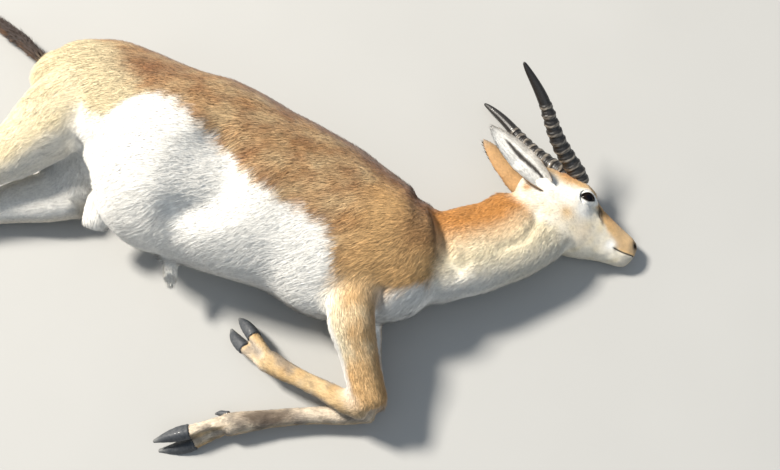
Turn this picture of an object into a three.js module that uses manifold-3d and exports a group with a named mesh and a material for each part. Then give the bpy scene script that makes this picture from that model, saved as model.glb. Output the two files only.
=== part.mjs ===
// A blackbuck, a young male, life size, lying flat on its left side with the neck stretched
// out and the forelegs folded at the knee. Millimetres, +Z up, the ground at z = 0.
// +X runs towards the head and +Y towards the animal's back, so its right side faces up.
import * as THREE from 'three';
import { mergeVertices } from 'three/addons/utils/BufferGeometryUtils.js';
import Module from 'manifold-3d';

const wasm = await Module();
wasm.setup();

// Driving dimensions of the whole animal.
const GAP = 0.3;
const ORIGIN = [-339.38, 94.34, 0];
const HEAD_AT = [262.9, 107.5, 68];
const HEAD_TURN = [5, 13, -28];
const EYE_RADIUS = 16;
const EAR_LENGTH = 146;

// How finely the surfaces are divided: ring spacing along a form, and sides around it.
const BODY = { step: 44, sides: 28 };
const LIMB = { step: 30, sides: 11 };
const SMALL = { step: 14, sides: 10 };

const UP = new THREE.Vector3(0, 0, 1);

// A rounded form carried along a curved line of stations. Each station gives its centre (at),
// its half sizes towards the front or back of the animal (fore, aft) and along the side axis
// (up, down), its squareness (squareAft on the belly side), and how far it rolls about the
// line. The side axis is upright.
// Every ring is a superellipse, and both ends close in a rounded cap.
function loft(stations, { step, sides }, options = {}) {
  const { grow = 0, caps = [12, 12], swell = [], ground = true, shape = null, round = [0.5, 0.85] } = options;
  const centres = new THREE.CatmullRomCurve3(
    stations.map((s) => new THREE.Vector3(...s.at)), false, 'catmullrom', 0.5);
  const spreads = new THREE.CatmullRomCurve3(
    stations.map((s) => new THREE.Vector3(s.fore, s.aft, s.square ?? 2.1)), false, 'catmullrom', 0.5);
  const corners = new THREE.CatmullRomCurve3(
    stations.map((s) => new THREE.Vector3(s.squareAft ?? s.square ?? 2.1, 0, 0)), false, 'catmullrom', 0.5);
  const sideways = new THREE.CatmullRomCurve3(
    stations.map((s) => new THREE.Vector3(s.up, s.down, s.roll ?? 0)), false, 'catmullrom', 0.5);
  const last = stations.length - 1;
  const rings = [];
  for (let i = 0; i < last; i += 1) {
    const a = stations[i];
    const b = stations[i + 1];
    const length = new THREE.Vector3(...a.at).distanceTo(new THREE.Vector3(...b.at));
    const pieces = Math.max(1, Math.round(length / (a.step ?? step)));
    for (let j = 0; j < pieces; j += 1) rings.push({ t: (i + j / pieces) / last, lift: 0, scale: 1 });
  }
  rings.push({ t: 1, lift: 0, scale: 1 });
  for (const part of round) {
    const scale = Math.sqrt(1 - part * part);
    rings.unshift({ t: 0, lift: -(caps[0] + grow) * part, scale });
    rings.push({ t: 1, lift: (caps[1] + grow) * part, scale });
  }

  const positions = [];
  const place = (t, lift, scale, angle) => {
    const centre = centres.getPoint(t);
    const along = centres.getTangent(t);
    const wide = spreads.getPoint(t);
    const high = sideways.getPoint(t);
    const side = UP.clone().addScaledVector(along, -along.z).normalize();
    side.applyAxisAngle(along, THREE.MathUtils.degToRad(high.z));
    const front = new THREE.Vector3().crossVectors(side, along);
    const c = Math.cos(angle);
    const s = Math.sin(angle);
    const power = 2 / (c > 0 ? wide.z : corners.getPoint(t).x);
    const across = ((c > 0 ? wide.x : wide.y) + grow) * Math.sign(c) * Math.abs(c) ** power * scale;
    const upward = ((s > 0 ? high.x : high.y) + grow) * Math.sign(s) * Math.abs(s) ** power * scale;
    const point = centre.clone().addScaledVector(along, lift)
      .addScaledVector(front, across).addScaledVector(side, upward);
    const outward = front.clone().multiplyScalar(across).addScaledVector(side, upward).normalize();
    for (const bump of swell) {
      const away = point.distanceTo(new THREE.Vector3(...bump.at)) / bump.reach;
      point.addScaledVector(outward, bump.height * Math.exp(-away * away) * (scale > 0 ? 1 : 0));
    }
    if (shape) shape(point, outward);
    if (ground && grow === 0) point.z = Math.max(point.z, 0);
    positions.push(point.x, point.y, point.z);
  };
  for (const ring of rings) {
    for (let j = 0; j < sides; j += 1) place(ring.t, ring.lift, ring.scale, (j / sides) * 2 * Math.PI);
  }
  place(0, -(caps[0] + grow), 0, 0);
  place(1, caps[1] + grow, 0, 0);
  const index = [];
  const at = (i, j) => i * sides + (j % sides);
  for (let i = 0; i < rings.length - 1; i += 1) {
    for (let j = 0; j < sides; j += 1) {
      index.push(at(i, j), at(i, j + 1), at(i + 1, j));
      index.push(at(i, j + 1), at(i + 1, j + 1), at(i + 1, j));
    }
  }
  const start = rings.length * sides;
  for (let j = 0; j < sides; j += 1) {
    index.push(start, at(0, j + 1), at(0, j));
    index.push(start + 1, at(rings.length - 1, j), at(rings.length - 1, j + 1));
  }
  const geometry = new THREE.BufferGeometry();
  geometry.setAttribute('position', new THREE.Float32BufferAttribute(positions, 3));
  geometry.setIndex(index);
  return geometry;
}

// Turns a closed geometry into a solid that can be joined and cut.
function solid(geometry) {
  const bare = new THREE.BufferGeometry();
  bare.setAttribute('position', geometry.getAttribute('position').clone());
  if (geometry.index) bare.setIndex(geometry.index.clone());
  const merged = mergeVertices(bare, 1e-4);
  const triangles = [];
  const ids = merged.index.array;
  for (let i = 0; i < ids.length; i += 3) {
    const [a, b, c] = [ids[i], ids[i + 1], ids[i + 2]];
    if (a !== b && b !== c && a !== c) triangles.push(a, b, c);
  }
  return new wasm.Manifold(new wasm.Mesh({
    numProp: 3,
    vertProperties: new Float32Array(merged.getAttribute('position').array),
    triVerts: new Uint32Array(triangles),
  }));
}

// Keeps only the largest closed piece of a solid and turns it back into a geometry.
function geometryOf(body) {
  const pieces = body.decompose();
  let largest = pieces[0];
  for (const piece of pieces) if (piece.volume() > largest.volume()) largest = piece;
  const mesh = largest.getMesh();
  const geometry = new THREE.BufferGeometry();
  geometry.setAttribute('position', new THREE.Float32BufferAttribute(mesh.vertProperties, 3));
  geometry.setIndex(Array.from(mesh.triVerts));
  return geometry;
}

function moved(geometry, matrix) {
  return geometry.clone().applyMatrix4(matrix);
}

// Moves the points of a geometry that lies in a turned frame so that none is under the ground.
function onGround(geometry, frame) {
  const back = frame.clone().invert();
  const world = moved(geometry, frame);
  const position = world.getAttribute('position');
  for (let i = 0; i < position.count; i += 1) {
    position.setZ(i, Math.max(position.getZ(i), 0));
  }
  return moved(world, back);
}

function mesh(name, geometry, material) {
  const piece = new THREE.Mesh(geometry, material.clone());
  piece.name = name;
  return piece;
}

function finish(color, roughness) {
  return new THREE.MeshStandardMaterial({ color, roughness, metalness: 0 });
}

const TAN = finish('#b98a5c', 0.9);
const FAWN = finish('#d9a468', 0.9);
const WHITE = finish('#e9e4da', 0.9);
const BROWN = finish('#6f4a30', 0.9);
const HORN_FINISH = finish('#2f2a27', 0.55);
const HOOF = finish('#3b4048', 0.5);
const EYE = finish('#14161b', 0.1);

// The trunk, from the pin bones at the rump to the front of the chest. The belly is full
// and round, and its right side stands up as a ball behind the last rib.
const TORSO = [
  { at: [-666, 342, 66], fore: 43, aft: 40, up: 50, down: 56 },
  { at: [-630, 330, 78], fore: 74, aft: 76, up: 72, down: 76 },
  { at: [-565, 305, 88], fore: 117, aft: 92, up: 84, down: 88 },
  { at: [-439, 214, 112], fore: 134, aft: 147, up: 112, down: 116 },
  { at: [-362, 152, 122], fore: 163, aft: 195, up: 124, down: 128 },
  { at: [-263, 89, 118], fore: 167, aft: 172, up: 122, down: 124 },
  { at: [-155, 43, 106], fore: 157, aft: 158, up: 108, down: 110 },
  { at: [-68, 3, 95], fore: 141, aft: 165, up: 96, down: 98 },
  { at: [12, -26, 86], fore: 117, aft: 134, up: 82, down: 87 },
  { at: [66, -32, 80], fore: 94, aft: 100, up: 66, down: 74 },
];
const TORSO_SWELL = [
  { at: [-408, 68, 242], reach: 105, height: 27 },
  { at: [-308, 64, 240], reach: 64, height: -27 },
  { at: [-470, 150, 200], reach: 60, height: 8 },
  { at: [-40, -10, 180], reach: 90, height: 12 },
];
const torsoForm = (grow) => loft(TORSO, BODY, { grow, caps: [20, 26], swell: TORSO_SWELL });

// The neck runs from inside the chest to inside the back of the head.
const NECK = [
  { at: [20, -30, 82], fore: 96, aft: 96, up: 58, down: 62 },
  { at: [93, -31, 76], fore: 86, aft: 84, up: 56, down: 60 },
  { at: [189, -4, 68], fore: 86, aft: 79, up: 48, down: 50 },
  { at: [246, 28, 65], fore: 84, aft: 80, up: 44, down: 46 },
  { at: [292, 62, 62], fore: 50, aft: 76, up: 31, down: 36 },
];
const neckForm = (grow) => loft(NECK, { step: 40, sides: 20 }, { grow, caps: [20, 16] });

// The head in its own frame: x from the back of the skull to the nose, y up through the
// forehead, z to the right. Each station gives the top and bottom of the profile there.
const PROFILE = [
  { x: -8, top: 34, bottom: -66, half: 36, square: 2.2, jaw: 2.2 },
  { x: 14, top: 52, bottom: -80, half: 44, square: 2.3, jaw: 2.3 },
  { x: 40, top: 55, bottom: -86, half: 47, square: 2.3, jaw: 2.4 },
  { x: 66, top: 61, bottom: -87, half: 48, square: 2.3, jaw: 2.5 },
  { x: 88, top: 57, bottom: -85, half: 47, square: 2.4, jaw: 2.6 },
  { x: 108, top: 46, bottom: -80, half: 42, square: 2.4, jaw: 2.8 },
  { x: 130, top: 38, bottom: -72, half: 35, square: 2.4, jaw: 2.9 },
  { x: 150, top: 32, bottom: -63, half: 29, square: 2.4, jaw: 3 },
  { x: 172, top: 26, bottom: -55, half: 25, square: 2.4, jaw: 3 },
  { x: 192, top: 21, bottom: -50, half: 22.5, square: 2.4, jaw: 3 },
  { x: 208, top: 16, bottom: -47, half: 20.5, square: 2.4, jaw: 2.8 },
  { x: 218, top: 10, bottom: -43, half: 17, square: 2.4, jaw: 2.6 },
];
const MOUTH = { corner: [180, -27], end: [232, -14], gape: 1.6 };
const EYE_AT = [91, 22, 33];
const LIDS = { half: 15.5, arch: 17.5, turn: 16 };
const HORN_AT = [56, 61, 20];
const HORN_BOSS = { at: [61, 45, 20], radius: 19 };
const LID_THICK = 2.6;
const NOSTRIL_AT = [217, 1, 14.5];
const NOSTRIL = { sizes: [8, 3, 5], slant: -38, flare: 38 };

// How far the lip line lies above or below a point of the muzzle, in the head's own frame.
function lipHeight(x) {
  const along = (x - MOUTH.corner[0]) / (MOUTH.end[0] - MOUTH.corner[0]);
  return MOUTH.corner[1] + (MOUTH.end[1] - MOUTH.corner[1]) * along - 3 * Math.sin(Math.PI * along);
}

// Brow, eye hollow, cheek, tear gland, lips and chin, as soft swellings of the skull's loft.
function headRelief(point, outward) {
  const side = Math.sign(point.z) || 1;
  const near = (x, y, z, reach) => {
    const d = Math.hypot(point.x - x, point.y - y, point.z - side * z) / reach;
    return Math.exp(-d * d);
  };
  let out = 5 * near(88, 40, 38, 20) + 4 * near(52, -34, 44, 30) - 5 * near(122, 12, 36, 16);
  out += 3 * near(70, 12, 46, 18) - 4 * near(112, 26, 36, 11) + 3 * near(206, 4, 18, 11);
  if (point.x > 176) {
    const away = point.y - lipHeight(point.x);
    out += 1.6 * Math.exp(-((Math.abs(away) - 4) ** 2) / 12);
    out -= 1.5 * Math.exp(-((away + 14) ** 2) / 30);
  }
  point.addScaledVector(outward, out);
}

function headForm(grow) {
  const stations = PROFILE.map((s) => ({
    at: [s.x, (s.top + s.bottom) / 2, 0],
    fore: (s.top - s.bottom) / 2,
    aft: (s.top - s.bottom) / 2,
    up: s.half,
    down: s.half,
    square: s.square,
    squareAft: s.jaw,
    step: s.x < 100 ? 13 : 8,
  }));
  return loft(stations, { step: 10, sides: 30 }, { grow, caps: [18, 9], ground: false, shape: headRelief });
}

// A horn: a cone carried along a lightly twisted line that leans back and outwards, ringed
// over its lower two thirds and smooth at the tip. side is 1 for the right one.
const HORN_TIP = { right: [-191.5, 96.4, 86], left: [-207, 90, 86] };
const HORN = { rings: 10, root: 16, radius: 16, taper: 0.45, ridge: 2, bow: 140, swing: 4.6, stations: 34 };
const HORN_TURN = { start: 42, whole: 378 };
function hornForm(side) {
  const points = [];
  const radii = [];
  const tip = new THREE.Vector3(...(side > 0 ? HORN_TIP.right : HORN_TIP.left));
  const length = tip.length() + HORN.root;
  const axis = tip.normalize();
  const first = new THREE.Vector3().crossVectors(axis, UP).normalize();
  const second = new THREE.Vector3().crossVectors(axis, first);
  for (let i = 0; i <= HORN.stations; i += 1) {
    const s = i / HORN.stations;
    const turn = THREE.MathUtils.degToRad(HORN_TURN.start + HORN_TURN.whole * s);
    const swing = HORN.swing * Math.sin(Math.PI * s) ** 0.7;
    const point = new THREE.Vector3(...HORN_AT).addScaledVector(axis, length * s - HORN.root)
      .addScaledVector(first, swing * Math.cos(turn)).addScaledVector(second, swing * Math.sin(turn));
    point.x += HORN.bow * s * (1 - s) ** 8;
    const ringed = THREE.MathUtils.smoothstep(0.7 - s, 0, 0.08);
    const wave = 0.5 - 0.5 * Math.cos((2 * Math.PI * HORN.rings * s) / 0.68);
    radii.push(HORN.radius * (1 - s) ** HORN.taper + 0.6 + HORN.ridge * ringed * (wave - 0.5));
    points.push([point.x, point.y, side * point.z]);
  }
  const stations = points.map((at, i) => (
    { at, fore: radii[i] * 1.06, aft: radii[i] * 1.06, up: radii[i] * 0.95, down: radii[i] * 0.95, square: 2 }));
  return loft(stations, { step: 400, sides: 10 }, { caps: [2, 1.2], ground: false });
}

// An ear: a leaf rolled into a trough. The first parameter runs from root to tip and the
// second across from rim to rim. The wall is thin, thinner still at the rim.
const EAR = { width: 23, wall: 3, rows: 12, columns: 8 };
function earForm(frame) {
  const rows = EAR.rows;
  const columns = EAR.columns;
  const outer = [];
  const inner = [];
  for (let i = 0; i <= rows; i += 1) {
    const s = i / rows;
    const half = EAR.width * Math.sin(Math.PI * (0.13 + 0.86 * s)) ** 0.66 + 0.6;
    const curl = THREE.MathUtils.degToRad(118 - 62 * Math.min(1, 2.2 * s) - 14 * s);
    const radius = half / Math.sin(Math.min(curl, Math.PI / 2));
    for (let j = 0; j <= columns; j += 1) {
      const q = (2 * j) / columns - 1;
      const a = q * curl;
      const wall = EAR.wall * (1 - 0.7 * q * q) * (1 - 0.45 * s);
      const bend = 9 * Math.sin(Math.PI * s);
      const ring = (r) => [EAR_LENGTH * s, r * Math.sin(a), bend - r * Math.cos(a) + radius * 0.55];
      outer.push(ring(radius));
      inner.push(ring(Math.max(radius - wall, 0.4)));
    }
  }
  const flat = [...outer, ...inner];
  const position = new Float32Array(flat.length * 3);
  flat.forEach((p, n) => position.set([p[0], p[1], p[2]], n * 3));
  const index = [];
  const wide = columns + 1;
  const shift = outer.length;
  const quad = (a, b, c, d) => index.push(a, c, b, b, c, d);
  for (let i = 0; i < rows; i += 1) {
    for (let j = 0; j < columns; j += 1) {
      const n = i * wide + j;
      quad(n, n + wide, n + 1, n + wide + 1);
      quad(shift + n, shift + n + 1, shift + n + wide, shift + n + wide + 1);
    }
    const low = i * wide;
    const high = i * wide + columns;
    quad(low, shift + low, low + wide, shift + low + wide);
    quad(high, high + wide, shift + high, shift + high + wide);
  }
  for (let j = 0; j < columns; j += 1) {
    const tip = rows * wide + j;
    quad(j, j + 1, shift + j, shift + j + 1);
    quad(tip, shift + tip, tip + 1, shift + tip + 1);
  }
  const geometry = new THREE.BufferGeometry();
  geometry.setAttribute('position', new THREE.BufferAttribute(position, 3));
  geometry.setIndex(index);
  return geometry.applyMatrix4(frame);
}

// A frame whose x runs along the ear and whose z faces into its cup, in the head's frame.
function earFrame(root, tip, opening, side) {
  const mirror = new THREE.Vector3(1, 1, side);
  const from = new THREE.Vector3(...root).multiply(mirror);
  const along = new THREE.Vector3(...tip).multiply(mirror).sub(from).normalize();
  const facing = new THREE.Vector3(...opening).multiply(mirror);
  facing.addScaledVector(along, -facing.dot(along)).normalize();
  const across = new THREE.Vector3().crossVectors(facing, along);
  return new THREE.Matrix4().makeBasis(along, across, facing).setPosition(from);
}

const EAR_ROOT = [16, 4, 34];
const EAR_TIP = { right: [-119, 39, 53], left: [-121, 61, 58] };
const EAR_OPENING = [0.1, -0.25, 1];

// The eyeball, and the almond opening between the lids, in the head's frame.
function eyeForm(side, grow = 0) {
  const ball = new THREE.SphereGeometry(EYE_RADIUS + grow, 16, 10);
  ball.translate(EYE_AT[0], EYE_AT[1], side * EYE_AT[2]);
  return ball;
}

function lidOpening(side) {
  const outline = new THREE.Shape();
  outline.moveTo(-LIDS.half, -2);
  outline.quadraticCurveTo(-4, LIDS.arch, LIDS.half, 1.5);
  outline.quadraticCurveTo(3, -LIDS.arch, -LIDS.half, -2);
  const cut = new THREE.ExtrudeGeometry(outline, { depth: 40, bevelEnabled: false, curveSegments: 5 });
  cut.rotateZ(THREE.MathUtils.degToRad(LIDS.turn));
  cut.translate(EYE_AT[0] + 1, EYE_AT[1] + 1, side > 0 ? EYE_AT[2] : -EYE_AT[2] - 40);
  return cut;
}

// The slit of the closed mouth, a thin curved blade across the muzzle below the lip line.
function mouthSlit() {
  const above = [];
  const below = [];
  const points = 7;
  for (let i = 0; i <= points; i += 1) {
    const x = MOUTH.corner[0] + ((MOUTH.end[0] - MOUTH.corner[0]) * i) / points;
    const open = MOUTH.gape * Math.min(1, i / 2 + 0.15) * 0.5;
    above.push(new THREE.Vector2(x, lipHeight(x) + open));
    below.unshift(new THREE.Vector2(x, lipHeight(x) - open));
  }
  const blade = new THREE.ExtrudeGeometry(new THREE.Shape([...above, ...below]),
    { depth: 80, bevelEnabled: false });
  blade.translate(0, 0, -40);
  return blade;
}

// One nostril: a slanted comma of a hollow on the side of the nose.
function nostril(side) {
  const pit = new THREE.SphereGeometry(1, 10, 6);
  pit.scale(...NOSTRIL.sizes);
  pit.rotateZ(THREE.MathUtils.degToRad(NOSTRIL.slant));
  pit.rotateY(THREE.MathUtils.degToRad(side * NOSTRIL.flare));
  pit.translate(NOSTRIL_AT[0], NOSTRIL_AT[1], side * NOSTRIL_AT[2]);
  return pit;
}

// The low boss of skull and skin that each horn grows from.
function hornBoss(side, grow = 0) {
  const boss = new THREE.SphereGeometry(HORN_BOSS.radius + grow, 12, 8);
  boss.translate(HORN_BOSS.at[0], HORN_BOSS.at[1], side * HORN_BOSS.at[2]);
  return boss;
}

function headSolid() {
  let head = solid(headForm(0));
  for (const side of [1, -1]) {
    head = head.add(solid(eyeForm(side, LID_THICK))).add(solid(hornBoss(side)));
  }
  for (const side of [1, -1]) {
    head = head.subtract(solid(lidOpening(side))).subtract(solid(eyeForm(side, GAP)));
    head = head.subtract(solid(nostril(side)));
  }
  return head.subtract(solid(mouthSlit()));
}

const legForm = (stations, grow = 0) => loft(stations, LIMB, { grow, caps: [14, 14] });

// A leg is two or three rounded lengths and a foot. Stations follow the bone from the body outwards.
const LEGS = {
  foreleg_right: {
    upper: [
      { at: [-46, -56, 112], fore: 56, aft: 52, up: 48, down: 40 },
      { at: [-66, -114, 120], fore: 52, aft: 47, up: 44, down: 36 },
      { at: [-68, -150, 125], fore: 47, aft: 42, up: 38, down: 34 },
      { at: [-64, -180, 124], fore: 42, aft: 39, up: 34, down: 32 },
      { at: [-52, -222, 108], fore: 35, aft: 34, up: 28, down: 28 },
      { at: [-42, -262, 92], fore: 33, aft: 33, up: 26, down: 26 },
      { at: [-34, -294, 80], fore: 32, aft: 32, up: 26, down: 26 },
    ],
    cannon: [
      { at: [-44, -300, 72], fore: 25, aft: 20, up: 23, down: 22 },
      { at: [-78, -288, 66], fore: 24, aft: 21, up: 21, down: 21 },
      { at: [-112, -270, 60], fore: 20, aft: 19, up: 17, down: 17 },
      { at: [-150, -250, 54], fore: 18, aft: 18, up: 15, down: 15 },
      { at: [-184, -232, 49], fore: 20, aft: 20, up: 17, down: 17 },
      { at: [-207, -217, 45], fore: 22, aft: 22, up: 20, down: 20 },
    ],
    foot: { at: [-213, -216, 45], heading: [-0.64, 0.72, -0.27], roll: 64, length: 1 },
  },
  foreleg_left: {
    upper: [
      { at: [-40, -70, 52], fore: 50, aft: 44, up: 34, down: 40 },
      { at: [-50, -130, 44], fore: 42, aft: 40, up: 30, down: 36 },
      { at: [-48, -180, 38], fore: 35, aft: 35, up: 26, down: 32 },
      { at: [-42, -226, 34], fore: 30, aft: 30, up: 24, down: 28 },
      { at: [-34, -262, 31], fore: 28, aft: 28, up: 22, down: 26 },
      { at: [-32, -288, 29], fore: 28, aft: 28, up: 22, down: 26 },
    ],
    cannon: [
      { at: [-36, -298, 28], fore: 22, aft: 20, up: 20, down: 22 },
      { at: [-76, -304, 27], fore: 19, aft: 19, up: 18, down: 20 },
      { at: [-138, -306, 25], fore: 16, aft: 17, up: 15, down: 17 },
      { at: [-205, -311, 24], fore: 17, aft: 18, up: 15, down: 17 },
      { at: [-246, -316, 24], fore: 20, aft: 20, up: 18, down: 20 },
      { at: [-274, -320, 24], fore: 22, aft: 22, up: 19, down: 20 },
    ],
    foot: { at: [-280, -321, 24], heading: [-0.94, -0.33, -0.08], roll: 34, length: 1.12 },
  },
  hindleg_right: {
    upper: [
      { at: [-560, 262, 118], fore: 84, aft: 92, up: 66, down: 40 },
      { at: [-590, 232, 128], fore: 76, aft: 92, up: 62, down: 40 },
      { at: [-629, 197, 128], fore: 66, aft: 82, up: 52, down: 42 },
      { at: [-669, 168, 120], fore: 56, aft: 65, up: 44, down: 42 },
      { at: [-706, 145, 112], fore: 49, aft: 52, up: 38, down: 38 },
    ],
    gaskin: [
      { at: [-706, 145, 112], fore: 46, aft: 50, up: 36, down: 36 },
      { at: [-755, 125, 100], fore: 39, aft: 46, up: 32, down: 32 },
      { at: [-814, 96, 84], fore: 28, aft: 32, up: 24, down: 24 },
      { at: [-868, 62, 66], fore: 22, aft: 26, up: 19, down: 19 },
      { at: [-898, 40, 54], fore: 25, aft: 27, up: 20, down: 20 },
    ],
    cannon: [
      { at: [-900, 38, 52], fore: 24, aft: 24, up: 19, down: 19 },
      { at: [-934, 4, 46], fore: 20, aft: 21, up: 17, down: 17 },
      { at: [-976, -44, 40], fore: 17, aft: 17, up: 15, down: 15 },
      { at: [-1014, -90, 34], fore: 18, aft: 18, up: 16, down: 16 },
      { at: [-1034, -116, 31], fore: 21, aft: 21, up: 19, down: 19 },
    ],
    foot: { at: [-1037, -120, 30], heading: [-0.82, -0.55, -0.12], roll: 30, length: 1 },
  },
  hindleg_left: {
    upper: [
      { at: [-572, 240, 52], fore: 78, aft: 90, up: 44, down: 52 },
      { at: [-584, 180, 50], fore: 76, aft: 84, up: 40, down: 52 },
      { at: [-590, 130, 46], fore: 58, aft: 66, up: 38, down: 48 },
      { at: [-592, 106, 44], fore: 50, aft: 52, up: 36, down: 46 },
    ],
    gaskin: [
      { at: [-590, 114, 42], fore: 52, aft: 58, up: 36, down: 44 },
      { at: [-646, 104, 40], fore: 50, aft: 56, up: 34, down: 42 },
      { at: [-710, 92, 36], fore: 38, aft: 46, up: 28, down: 38 },
      { at: [-776, 76, 30], fore: 25, aft: 28, up: 23, down: 30 },
      { at: [-826, 62, 28], fore: 25, aft: 27, up: 21, down: 28 },
    ],
    cannon: [
      { at: [-828, 60, 26], fore: 24, aft: 24, up: 20, down: 26 },
      { at: [-862, 22, 24], fore: 20, aft: 21, up: 17, down: 22 },
      { at: [-900, -30, 22], fore: 17, aft: 17, up: 15, down: 20 },
      { at: [-936, -80, 22], fore: 18, aft: 18, up: 16, down: 20 },
      { at: [-952, -108, 22], fore: 21, aft: 21, up: 19, down: 21 },
    ],
    foot: { at: [-954, -112, 22], heading: [-0.72, -0.69, -0.06], roll: 26, length: 1 },
  },
};

// The foot: two toes side by side, each a pastern that ends in a narrow pointed hoof, and two
// small dew claws behind the fetlock. n is 1 for the outer (upper) toe and -1 for the inner.
const TOE = { pastern: 56, hoof: 54, spread: 13.5, radius: 12.5 };

function footFrame(foot) {
  const along = new THREE.Vector3(...foot.heading).normalize();
  const side = UP.clone().addScaledVector(along, -along.z).normalize();
  side.applyAxisAngle(along, THREE.MathUtils.degToRad(foot.roll));
  const front = new THREE.Vector3().crossVectors(side, along);
  return { origin: new THREE.Vector3(...foot.at), along, side, front };
}

function footPoint(frame, x, front, side) {
  const point = frame.origin.clone().addScaledVector(frame.along, x)
    .addScaledVector(frame.front, front).addScaledVector(frame.side, side);
  return [point.x, point.y, point.z];
}

function pasternForm(foot, n, grow = 0) {
  const frame = footFrame(foot);
  const r = TOE.radius;
  const stations = [
    { at: footPoint(frame, -6, 0, n * 7), fore: r + 3, aft: r + 3, up: r, down: r, roll: foot.roll },
    { at: footPoint(frame, 18, -1, n * 10), fore: r, aft: r, up: r - 2, down: r - 2, roll: foot.roll },
    { at: footPoint(frame, TOE.pastern * foot.length, 0, n * TOE.spread), fore: r + 1, aft: r + 2, up: r - 1,
      down: r - 1, roll: foot.roll },
  ];
  return loft(stations, { step: 30, sides: 10 }, { grow, caps: [8, 5], round: [0.7] });
}

function hoofForm(foot, n, grow) {
  const frame = footFrame(foot);
  const r = TOE.radius;
  const start = TOE.pastern * foot.length - 1;
  const tip = start + TOE.hoof * foot.length;
  const at = (x, front, side) => footPoint(frame, x, front, n * side);
  const stations = [
    { at: at(start, 0, TOE.spread), fore: r, aft: r + 2, up: r - 1, down: r - 1, square: 2.4, roll: foot.roll },
    { at: at(start + 16, -1, TOE.spread + 1.5), fore: r - 1, aft: r + 2, up: r - 1.5, down: r - 1.5,
      square: 2.6, roll: foot.roll },
    { at: at(start + 36, -4, TOE.spread + 1.5), fore: r - 4, aft: r - 2, up: r - 4, down: r - 4, square: 2.6,
      roll: foot.roll },
    { at: at(tip, -9, TOE.spread - 1), fore: 3, aft: 4, up: 3, down: 3, square: 2.2, roll: foot.roll },
  ];
  return loft(stations, { step: 18, sides: 10 }, { grow, caps: [4, 3], round: [0.7] });
}

function dewClawForm(foot, n, grow) {
  const frame = footFrame(foot);
  const stations = [
    { at: footPoint(frame, -8, -13, n * 9), fore: 6, aft: 6, up: 6, down: 6 },
    { at: footPoint(frame, 4, -21, n * 10), fore: 5, aft: 5, up: 5, down: 5 },
    { at: footPoint(frame, 13, -26, n * 9), fore: 2, aft: 2, up: 2, down: 2 },
  ];
  return loft(stations, { step: 14, sides: 8 }, { grow, caps: [3, 1.5], round: [0.7] });
}

// The tail: a slim tapering brush, thrown back along the ground behind the rump.
const TAIL = [
  { at: [-656, 362, 66], fore: 14, aft: 14, up: 13, down: 13 },
  { at: [-687, 394, 64], fore: 13, aft: 13, up: 12, down: 12 },
  { at: [-725, 434, 50], fore: 14, aft: 14, up: 12, down: 12 },
  { at: [-760, 470, 36], fore: 15, aft: 15, up: 12, down: 12 },
  { at: [-809, 514, 20], fore: 14, aft: 14, up: 10, down: 10 },
  { at: [-846, 546, 11], fore: 7, aft: 7, up: 6, down: 6 },
];

const SCROTUM = [
  { at: [-500, 96, 112], fore: 18, aft: 20, up: 18, down: 18 },
  { at: [-518, 66, 104], fore: 25, aft: 27, up: 22, down: 24 },
  { at: [-527, 29, 89], fore: 26, aft: 28, up: 23, down: 24 },
];
const SHEATH = [
  { at: [-384, -22, 92], fore: 19, aft: 21, up: 19, down: 19 },
  { at: [-386, -54, 82], fore: 15, aft: 16, up: 14, down: 14 },
  { at: [-387, -77, 76], fore: 8, aft: 8, up: 8, down: 8 },
];

// Everything is worked out in one frame, then the head's pieces go into the head's own group.
const headFrame = new THREE.Matrix4().makeRotationFromEuler(new THREE.Euler(
  ...HEAD_TURN.map(THREE.MathUtils.degToRad), 'ZYX')).setPosition(...HEAD_AT);

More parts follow.
